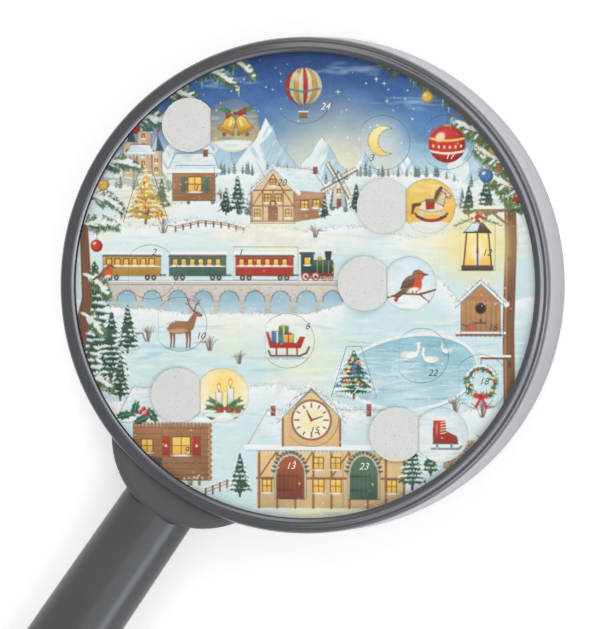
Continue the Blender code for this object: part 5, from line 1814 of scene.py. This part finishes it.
def hot_mug():
    line(curve((5.2, -1.2), (3, 2.8), -1.5, 1.5), 1.3, (84, 124, 166))
    drawn([(-5.2, 3.4), (5.2, 3.4), (4.4, -6), (-4.4, -6)], (98, 142, 184), (70, 108, 152))
    dab(0, 3.4, 10.4, 2.6, (120, 78, 56))
    for way in (-2, 1.6):
        dab(way, 3.8, 3.2, 1.8, (250, 248, 244))
    for step in range(7):
        dab(math.sin(step) * 1.2, 5.4 + step * 0.9, 1.8, 1.4, (240, 240, 238), 0.4, 0, 0.8)
    heart = [(0, -1.6), (-1.8, 0.4), (-1, 1.6), (0, 0.8), (1, 1.6), (1.8, 0.4)]
    drawn(heart, (214, 66, 56), None, 0, -1.2)


def glass_ball():
    bauble(0, -1, 6.2, (212, 70, 58), 4)
    sprig(0, 6.4, 0.35, 7)
    sprig(0, 6.4, 2.8, 7)


def snowy_fir():
    fir(0, -9, 18, (80, 120, 92), 0.8, 0.7)


blue_day, pale_day = ((166, 204, 226), (240, 246, 247)), ((206, 228, 236), (250, 251, 250))
gold_day, warm_day = ((250, 226, 138), (240, 184, 84)), ((253, 242, 196), (250, 247, 236))
dusk = ((74, 112, 168), (244, 214, 134))
little_paintings = {
    1: (pale_day, toy_boat), 2: (gold_day, star_cookie), 3: (blue_day, heart_cookie), 4: (dusk, snowy_fir),
    5: (pale_day, robin_on_twig), 6: (gold_day, parcel), 7: (warm_day, snowy_fir),
    8: (gold_day, rocking_horse), 9: (blue_day, hot_mug), 10: (warm_day, mitten), 11: (pale_day, toy_drum),
    12: (blue_day, sugar_cane), 13: (dusk, star_cookie), 14: (warm_day, two_candles),
    15: (blue_day, toy_drum), 16: (gold_day, glass_ball),
    17: (pale_day, parcel), 18: (gold_day, ice_skate), 19: (dusk, bell_pair), 20: (warm_day, heart_cookie),
    21: (pale_day, ice_skate), 22: (warm_day, toy_boat), 23: (dusk, glass_ball), 24: (blue_day, bell_pair),
}
sheet = np.full((side, side, 3), 240, np.float32)
small_pictures = sheet.copy()
for number, (ground, little_painting) in little_paintings.items():
    origin[:] = doors[number]["centre"]
    fill(oblong(-17, -16, 17, 16), *ground, uneven=16)
    drift(-13, 13, -12, 12, 16, (np.array(ground[0]) * 0.96, ground[1], snow), 9, 1.4, 0.35)
    dab(0, -12.5, 34, 11, snow, 0.9, chance.normal(0, 0.06), 0.15)
    drift(-12, 12, -12, -8, 7, (aqua, (214, 232, 236)), 9, 0.8, 0.7)
    little_painting()
    for _ in range(9):
        dab(chance.uniform(-11, 11), chance.uniform(-9, 11), 0.7, 0.7, snow, 0.9)
    low, high = doors[number]["window"].min(axis=0), doors[number]["window"].max(axis=0)
    where = part_of_sheet(low, high, 1.2)[0]
    small_pictures[where] = sheet[where]
small_pictures = np.clip(small_pictures + (tooth * 5.0)[..., None], 0, 255)

sheet_low, sheet_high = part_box("picture_sheet")
sheet_rim = refined(outlines("picture_sheet", sheet_high.z)[0], 1.5)
parts_x, parts_y = [], []
for door in doors.values():
    low, high = door["window"].min(axis=0) - 0.6, door["window"].max(axis=0) + 0.6
    x, y = grid(low, high, 0.34)
    keep = inside(door["window"], x, y) | (edge_distance(door["window"], x, y) < 0.6)
    parts_x.append(x[keep])
    parts_y.append(y[keep])
sheet_mesh = sheet_solid(
    "little_pictures", [sheet_rim], np.concatenate(parts_x), np.concatenate(parts_y),
    sheet_high.z * 1000, sheet_low.z * 1000,
)
for surface in (printed_face, cut_board, plain_back):
    sheet_mesh.materials.append(surface)
coloured(sheet_mesh, small_pictures)
little_pictures = set_down("little_pictures", sheet_mesh)
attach(little_pictures, "frame")
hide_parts("picture_sheet")


# Backing board
# A disc of grey board, pulped from waste paper and punched out of a larger sheet. The picture sheet
# is glued to its front, and it rests on the ring's shelf.

def dressed(node_name, surface):
    """Gives a solid of the part a surface of this file."""
    nodes[node_name].data.materials.clear()
    nodes[node_name].data.materials.append(surface)


greyboard, tree, shader, bump = plain_material("greyboard")
stock = placed(tree, fibre, Colour=linear(160, 152, 140), Fleck=0.85)
grubby = spread(tree, noise_at(tree, 45, 3, 0.6), 0.4, 0.7, 0, 0.35)
soiled = mixed(tree, "MULTIPLY", grubby, stock.outputs["Colour"], linear(190, 180, 168))
surfaced(tree, shader, bump, stock, soiled)
dressed("backing_board", greyboard)


# Ring housing
# A deep ring moulded in dark glossy plastic, with a rounded front edge and a shelf inside it for the
# card. The side wall flares a little to the back.

# moulded skin: slight clouds where the plastic flowed, fine pores, hairline scratches and dust
skin, skin_in, skin_out = shader_group(
    "moulded_skin", {"Colour": (0.02, 0.02, 0.02, 1.0), "Gloss": 0.3, "Handling": 0.3},
    {"Colour": "NodeSocketColor", "Roughness": "NodeSocketFloat", "Height": "NodeSocketFloat"},
)
flow = noise_at(skin, 26, 4, 0.55)
pores = noise_at(skin, 2600, 2, 0.5)
hairlines = sum_of(
    skin, "ADD", spread(skin, noise_at(skin, 300, 2, 0.6, (1, 14, 6)), 0.66, 0.7, 0, 0.5),
    spread(skin, noise_at(skin, 260, 2, 0.6, (12, 1, 5)), 0.67, 0.71, 0, 0.5),
)
rubbed = spread(skin, noise_at(skin, 70, 5, 0.7), 0.5, 0.75, 0, 1)
specks = spread(skin, noise_at(skin, 1500, 1, 0.5), 0.76, 0.8, 0, 0.5)
wear = sum_of(skin, "MULTIPLY", sum_of(skin, "ADD", hairlines, rubbed), skin_in.outputs["Handling"])
clouded = mixed(
    skin, "MULTIPLY", 1.0, skin_in.outputs["Colour"],
    mixed(skin, "MIX", flow, (0.86, 0.86, 0.87, 1), (1.16, 1.16, 1.15, 1)),
)
dust = sum_of(skin, "MULTIPLY", specks, skin_in.outputs["Handling"])
dusted = mixed(skin, "MIX", dust, clouded, (0.24, 0.24, 0.24, 1))
worn = mixed(skin, "ADD", sum_of(skin, "MULTIPLY", wear, 0.05), dusted, (0.3, 0.3, 0.32, 1))
worn_gloss = sum_of(skin, "ADD", skin_in.outputs["Gloss"], sum_of(skin, "MULTIPLY", wear, 0.3))
grain = sum_of(skin, "ADD", sum_of(skin, "MULTIPLY", flow, 3.0), sum_of(skin, "MULTIPLY", pores, 0.25))
scored = sum_of(skin, "SUBTRACT", grain, sum_of(skin, "MULTIPLY", hairlines, 0.4))
wire(
    skin, (worn, skin_out.inputs["Colour"]), (worn_gloss, skin_out.inputs["Roughness"]),
    (scored, skin_out.inputs["Height"]),
)


def moulded_plastic(name, colour, gloss, handling, coat, coat_roughness, shine=0.5):
    """A dark moulded plastic with a clear glossy surface over its colour."""
    made, tree, shader, bump = plain_material(name)
    surfaced(tree, shader, bump, placed(tree, skin, Colour=colour, Gloss=gloss, Handling=handling))
    bump.inputs["Strength"].default_value = 0.12
    shader.inputs["Specular IOR Level"].default_value = shine
    shader.inputs["Coat Weight"].default_value = coat
    shader.inputs["Coat Roughness"].default_value = coat_roughness
    return made


def solid_of_rings(name, rings):
    """A closed solid strung over rings of points, each joined to the next and the last to the first."""
    count = len(rings[0])
    points = np.concatenate(rings)
    faces = []
    for index in range(len(rings)):
        a, b = index * count, (index + 1) % len(rings) * count
        faces += [(a + i, a + (i + 1) % count, b + (i + 1) % count, b + i) for i in range(count)]
    mesh = bpy.data.meshes.new(name)
    mesh.from_pydata(points.tolist(), [], faces)
    shape = bmesh.new()
    shape.from_mesh(mesh)
    bmesh.ops.remove_doubles(shape, verts=shape.verts, dist=1e-7)
    bmesh.ops.recalc_face_normals(shape, faces=shape.faces)
    shape.to_mesh(mesh)
    shape.free()
    mesh.shade_smooth()
    mesh.set_sharp_from_angle(angle=math.radians(35))
    return set_down(name, mesh)


def turned_solid(name, profile, steps=420):
    """A closed solid turned about the ring's axis from a line of radius and height."""
    turns = np.arange(steps) * 2 * math.pi / steps
    return solid_of_rings(name, [
        np.column_stack([r * np.cos(turns), r * np.sin(turns), np.full(steps, z)]) for r, z in profile
    ])


def quarter(centre, radii, start, steps):
    """A quarter of an ellipse in radius and height, run anticlockwise from an angle in right angles."""
    turns = np.linspace(start, start + 1, steps) * math.pi / 2
    return [(centre[0] + radii[0] * math.cos(t), centre[1] + radii[1] * math.sin(t)) for t in turns]


def combined(piece, operation, shape):
    """Joins shapes to a piece, or cuts them out of it."""
    tool = set_down("tool", bpy.data.meshes.new("tool"))
    shape.to_mesh(tool.data)
    shape.free()
    modifier = piece.modifiers.new("combined", "BOOLEAN")
    modifier.operation, modifier.object = operation, tool
    result = piece.evaluated_get(bpy.context.evaluated_depsgraph_get())
    piece.data = bpy.data.meshes.new_from_object(result)
    piece.modifiers.clear()
    bpy.data.objects.remove(tool)


shoulder_radius, shoulder_start, shoulder_round, shoulder_fall = 0.1139, 0.043, 0.0019, 0.0042
flare, back_round, side_wall = 0.0013, 0.0012, 0.0028
lip_bore, lip_round, lip_height = 0.11155, 0.00045, 0.0472
ledge_height, shelf_radius, shelf_bottom, shelf_top = 0.0458, 0.1043, 0.0367, 0.0392
card_bore, cover_seat, cover_ledge = 0.1103, 0.1136, 0.0033


def wall_radius(height):
    """The side wall's outside, which widens ever faster from the shoulder to the back."""
    return shoulder_radius + flare * (1 - height / shoulder_start) ** 1.6


profile = quarter((wall_radius(back_round) - back_round, back_round), (back_round, back_round), -1, 7)
profile += [(wall_radius(z), z) for z in np.linspace(0.003, 0.042, 14)]
profile += quarter((shoulder_radius - shoulder_round, shoulder_start), (shoulder_round, shoulder_fall), 0, 15)
profile += quarter((lip_bore + lip_round, lip_height - lip_round), (lip_round, lip_round), 1, 6)[1:]
profile += [(lip_bore, ledge_height), (card_bore, ledge_height), (card_bore, shelf_top)]
profile += [(shelf_radius, shelf_top), (shelf_radius, shelf_bottom)]
profile += [(wall_radius(z) - side_wall, z) for z in np.linspace(shelf_bottom, cover_ledge, 6)]
profile += [(cover_seat, cover_ledge), (cover_seat, 0)]
ring_shell = turned_solid("ring_shell", profile)

# six screw bosses and the stud's pad are grown onto the wall, then the holes are cut
stud_low, stud_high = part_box("handle_stud")
stud_middle = (stud_low + stud_high) / 2
along = Vector((stud_middle.x, stud_middle.y, 0)).normalized()
axis_height = stud_middle.z
lying = Matrix.Translation((0, 0, axis_height)) @ along.to_track_quat("Z", "Y").to_matrix().to_4x4()
boss_radius, pilot_radius, pilot_depth, stud_hole = 0.0036, 0.0016, 0.014, 0.0033
pad_width, pad_face = 0.02705, 0.10595
pad_root = wall_radius(axis_height) - side_wall / 2
grown, cut = bmesh.new(), bmesh.new()
for index in range(1, 7):
    screw_low, screw_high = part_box(f"cover_screw_{index}")
    for shape, radius, floor, top in (
        (grown, boss_radius, cover_ledge, shelf_bottom + 0.00125),
        (cut, pilot_radius, cover_ledge - 0.001, cover_ledge + pilot_depth),
    ):
        middle = (screw_low + screw_high) / 2
        middle.z = (floor + top) / 2
        bmesh.ops.create_cone(
            shape, cap_ends=True, segments=40, radius1=radius, radius2=radius, depth=top - floor,
            matrix=Matrix.Translation(middle),
        )
bmesh.ops.create_cube(
    grown, size=1, matrix=lying @ Matrix.Translation((0, 0, (pad_face + pad_root) / 2))
    @ Matrix.Diagonal((pad_width, pad_width, pad_root - pad_face, 1)),
)
bmesh.ops.create_cone(
    cut, cap_ends=True, segments=40, radius1=stud_hole, radius2=stud_hole, depth=0.02,
    matrix=lying @ Matrix.Translation((0, 0, pad_root)),
)
combined(ring_shell, "UNION", grown)
combined(ring_shell, "DIFFERENCE", cut)
ring_shell.data.shade_smooth()
ring_shell.data.set_sharp_from_angle(angle=math.radians(35))
ring_plastic = moulded_plastic("ring_plastic", linear(66, 66, 69), 0.32, 0.2, 0.62, 0.14)
ring_shell.data.materials.append(ring_plastic)
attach(ring_shell, "frame")
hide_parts("ring_housing")


# Bezel ring
# A thin ring with a rounded bead, pressed into the housing's lip. Its foot holds down the edge of the
# card, and its bead runs on into the lip with a fine seam. Its upright inside is left dull and is
# painted a darker shade than the bead, standing in for the shade in the recess down to the card.

bezel_low, bezel_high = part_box("bezel_ring")
bezel_radii = sorted(math.hypot(v.co.x, v.co.y) for v in nodes["bezel_ring"].data.vertices)
inner_overhang, outer_overhang, bead_depth = 0.0007, 0.00025, 0.0019
inner, outer = bezel_radii[0] - inner_overhang, bezel_radii[-1] + outer_overhang
bead_floor, foot_radius = bezel_high.z - bead_depth, rim_radius / 1000
bead_round, bead_start, bead_stop, inner_turn = 0.0026, -0.92, 0.68, 0.95
seam_width, seam_height = 0.00055, lip_height + 0.00002
crest_radius = inner + bead_round * math.sin(inner_turn)
profile = [(foot_radius, bezel_low.z), (inner, bezel_low.z)]
profile += [(inner, bezel_high.z - bead_round * 0.42 - 0.00012)]
profile += [
    (crest_radius + bead_round * math.sin(t), bezel_high.z - bead_round * (1 - math.cos(t)))
    for t in np.linspace(bead_start, bead_stop, 30)
]
bead_end = crest_radius + bead_round * math.sin(bead_stop)
bead_foot = bezel_high.z - bead_round * (1 - math.cos(bead_stop))
profile += [
    (bead_end + (outer - bead_end) * s, bead_foot - (bead_foot - seam_height) * (1 - (1 - s) ** 2.2))
    for s in np.linspace(0.12, 1, 10)
]
profile += [(outer + seam_width, seam_height), (outer + 0.00035, seam_height - 0.00001)]
profile += [(outer + 0.00002, seam_height - 0.00027), (outer, seam_height - 0.0006)]
profile += [(outer, bead_floor), (foot_radius, bead_floor)]
bezel_bead = turned_solid("bezel_bead", profile)
bezel_plastic = moulded_plastic("bezel_plastic", linear(60, 60, 63), 0.28, 0.15, 1.0, 0.18)
bezel_bead.data.materials.append(bezel_plastic)
# the upright inside: the bead's plastic painted darker and almost without shine, as painted shade in the
# recess
bezel_inside = moulded_plastic("bezel_inside", linear(48, 48, 51), 0.6, 0.1, 0.0, 0.5, 0.05)
bezel_bead.data.materials.append(bezel_inside)
for face in bezel_bead.data.polygons:
    face.material_index = int(math.hypot(*face.center[:2]) < inner + 0.00005 and abs(face.normal.z) < 0.3)
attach(bezel_bead, "frame")
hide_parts("bezel_ring")


# Rear cover and its screws
# A moulded disc let into the back of the ring, a little duller than the ring, and held by six
# zinc-plated screws in sunk holes.

cover_plastic = moulded_plastic("cover_plastic", linear(50, 50, 52), 0.46, 0.8, 0.25, 0.3)
dressed("rear_cover", cover_plastic)

# turned steel: fine marks round and across, and small dull spots in the plating
steel, steel_in, steel_out = shader_group(
    "turned_steel", {"Colour": (0.5, 0.5, 0.52, 1.0), "Dull": 0.3},
    {"Colour": "NodeSocketColor", "Roughness": "NodeSocketFloat", "Height": "NodeSocketFloat"},
)
tool_marks = noise_at(steel, 2200, 2, 0.6, (1, 1, 0.12))
spots = spread(steel, noise_at(steel, 900, 3, 0.6), 0.55, 0.7, 0, 1)
stains = sum_of(steel, "MULTIPLY", spots, steel_in.outputs["Dull"])
stained = mixed(steel, "MULTIPLY", stains, steel_in.outputs["Colour"], (0.55, 0.52, 0.46, 1))
marked = spread(steel, tool_marks, 0.3, 0.7, 0.24, 0.36)
wire(
    steel, (stained, steel_out.inputs["Colour"]),
    (sum_of(steel, "ADD", marked, sum_of(steel, "MULTIPLY", spots, 0.16)), steel_out.inputs["Roughness"]),
    (tool_marks, steel_out.inputs["Height"]),
)


def plated_steel(name, colour, dull):
    """Plated steel for small fasteners."""
    made, tree, shader, bump = plain_material(name)
    surfaced(tree, shader, bump, placed(tree, steel, Colour=colour, Dull=dull))
    shader.inputs["Metallic"].default_value = 1.0
    return made


zinc_plate = plated_steel("zinc_plate", linear(196, 198, 202), 0.4)
for index in range(1, 7):
    dressed(f"cover_screw_{index}", zinc_plate)


# Handle collar
# A crescent-shaped boss between ring and handle, moulded in the ring's plastic and drawn tight
# against it by the stud. Its colour is painted lighter than the ring's and its shine is kept low, so a
# painted sheen in the colour stands in for the light that its face reflects.

# lighter than the ring's plastic: a painted sheen in place of reflected light
collar_plastic = moulded_plastic("collar_plastic", linear(91, 91, 93), 0.45, 0.3, 0.1, 0.35, 0.15)
dressed("handle_collar", collar_plastic)


# Stud, washers and nuts
# A threaded steel stud runs through the ring's wall, the collar and the handle's head, with a washer
# and a nut at each end. All of it is inside.

dull_steel = plated_steel("dull_steel", linear(176, 176, 176), 0.8)
for name in ("handle_stud", "ring_washer", "ring_nut", "grip_washer", "grip_nut"):
    dressed(name, dull_steel)


# Handle grip
# A hollow round handle, slightly fuller in the middle, moulded in dark plastic with a high gloss.
# Its end is hollowed to sit against the round collar. Its colour is painted lighter than the end cap's
# plastic and its specular is kept low, so a painted sheen in the colour stands in for the light it reflects.

sideways = Vector((0, 0, 1)).cross(along)


def reach_along(node_name):
    """How near and how far a solid reaches along the handle, from the ring's axis."""
    runs = [(nodes[node_name].matrix_world @ v.co).dot(along) for v in nodes[node_name].data.vertices]
    return min(runs), max(runs)


collar_apex = reach_along("handle_collar")[1]
fit_gap, scribed_gap = 0.0003, 0.00012
grip_start, grip_end = collar_apex + fit_gap, reach_along("handle_grip")[1]
neck_radius, belly_radius, butt_radius, belly_share = 0.0176, 0.0187, 0.018, 0.55
bore_radius, head_wall = 0.0154, 0.009
turns = np.arange(200) * 2 * math.pi / 200


def handle_ring(radius, run):
    """A ring of points about the handle's axis. The run may differ from point to point."""
    run = np.broadcast_to(run, len(turns))
    side_run, rise = radius * np.cos(turns), radius * np.sin(turns)
    return (
        np.outer(run, along) + np.outer(side_run, sideways)
        + np.column_stack([np.zeros((len(turns), 2)), axis_height + rise])
    )


collar = nodes["handle_collar"]
collar_skin = BVHTree.FromPolygons(
    [collar.matrix_world @ v.co for v in collar.data.vertices], [p.vertices[:] for p in collar.data.polygons]
)


def scribed_run(radius):
    """Where the handle's end lies at a radius from its axis: close against the collar all round."""
    probes = handle_ring(radius, grip_end)
    runs = [grip_end - collar_skin.ray_cast(Vector(p), -along)[3] for p in probes]
    return np.array(runs) + scribed_gap


def grip_radius_at(run):
    """The handle's outside along it: fuller in the middle than at either end."""
    share = np.clip((run - grip_start) / (grip_end - grip_start), 0, 1)
    rising = np.sin(np.clip(share / belly_share, 0, 1) * math.pi / 2)
    falling = np.sin(np.clip((1 - share) / (1 - belly_share), 0, 1) * math.pi / 2)
    return np.where(
        share < belly_share, neck_radius + (belly_radius - neck_radius) * rising,
        butt_radius + (belly_radius - butt_radius) * falling,
    )


rings = [handle_ring(r, scribed_run(r)) for r in (stud_hole, 0.009, 0.014, 0.0168)]
for t in np.linspace(0, math.pi / 2, 5):
    inset = 0.0005 * (1 - math.sin(t))
    rings.append(handle_ring(neck_radius - inset, scribed_run(neck_radius) + 0.0005 * (1 - math.cos(t))))
first_run = scribed_run(neck_radius) + 0.0005
for share in np.linspace(0.01, 0.996, 90):
    run = first_run + (grip_end - first_run) * share
    rings.append(handle_ring(grip_radius_at(run), run))
rings += [handle_ring(butt_radius - 0.0002, grip_end - 0.0002), handle_ring(butt_radius - 0.0005, grip_end)]
rings += [handle_ring(bore_radius, grip_end), handle_ring(bore_radius, grip_start + head_wall)]
rings += [handle_ring(stud_hole, grip_start + head_wall)]
grip_body = solid_of_rings("grip_body", rings)
# lighter than the cap's plastic: a painted sheen in place of reflected light
grip_plastic = moulded_plastic("grip_plastic", linear(83, 83, 85), 0.34, 0.3, 0.28, 0.24, 0.1)
grip_body.data.materials.append(grip_plastic)
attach(grip_body, "frame")
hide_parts("handle_grip")


# End cap
# A domed plug, moulded in dark plastic like the handle's. It is pressed into the handle's far end and
# closes it.

cap_low, cap_high = reach_along("end_cap")
seat, dome = grip_end + fit_gap, cap_high - grip_end - fit_gap
plug = bore_radius - fit_gap
rings = [handle_ring(r, cap_low) for r in (0.0, plug - 0.0006)] + [handle_ring(plug, cap_low + 0.0006)]
rings += [handle_ring(r, seat) for r in (plug, plug + 0.0005, butt_radius - 0.0004)]
rings += [
    handle_ring((butt_radius - 0.00005) * math.cos(t), seat + dome * math.sin(t))
    for t in np.linspace(0.03, math.pi / 2, 30)
]
cap_dome = solid_of_rings("cap_dome", rings)
cap_plastic = moulded_plastic("cap_plastic", linear(42, 42, 45), 0.34, 0.9, 0.8, 0.18)
cap_dome.data.materials.append(cap_plastic)
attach(cap_dome, "frame")
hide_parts("end_cap")


low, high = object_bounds()
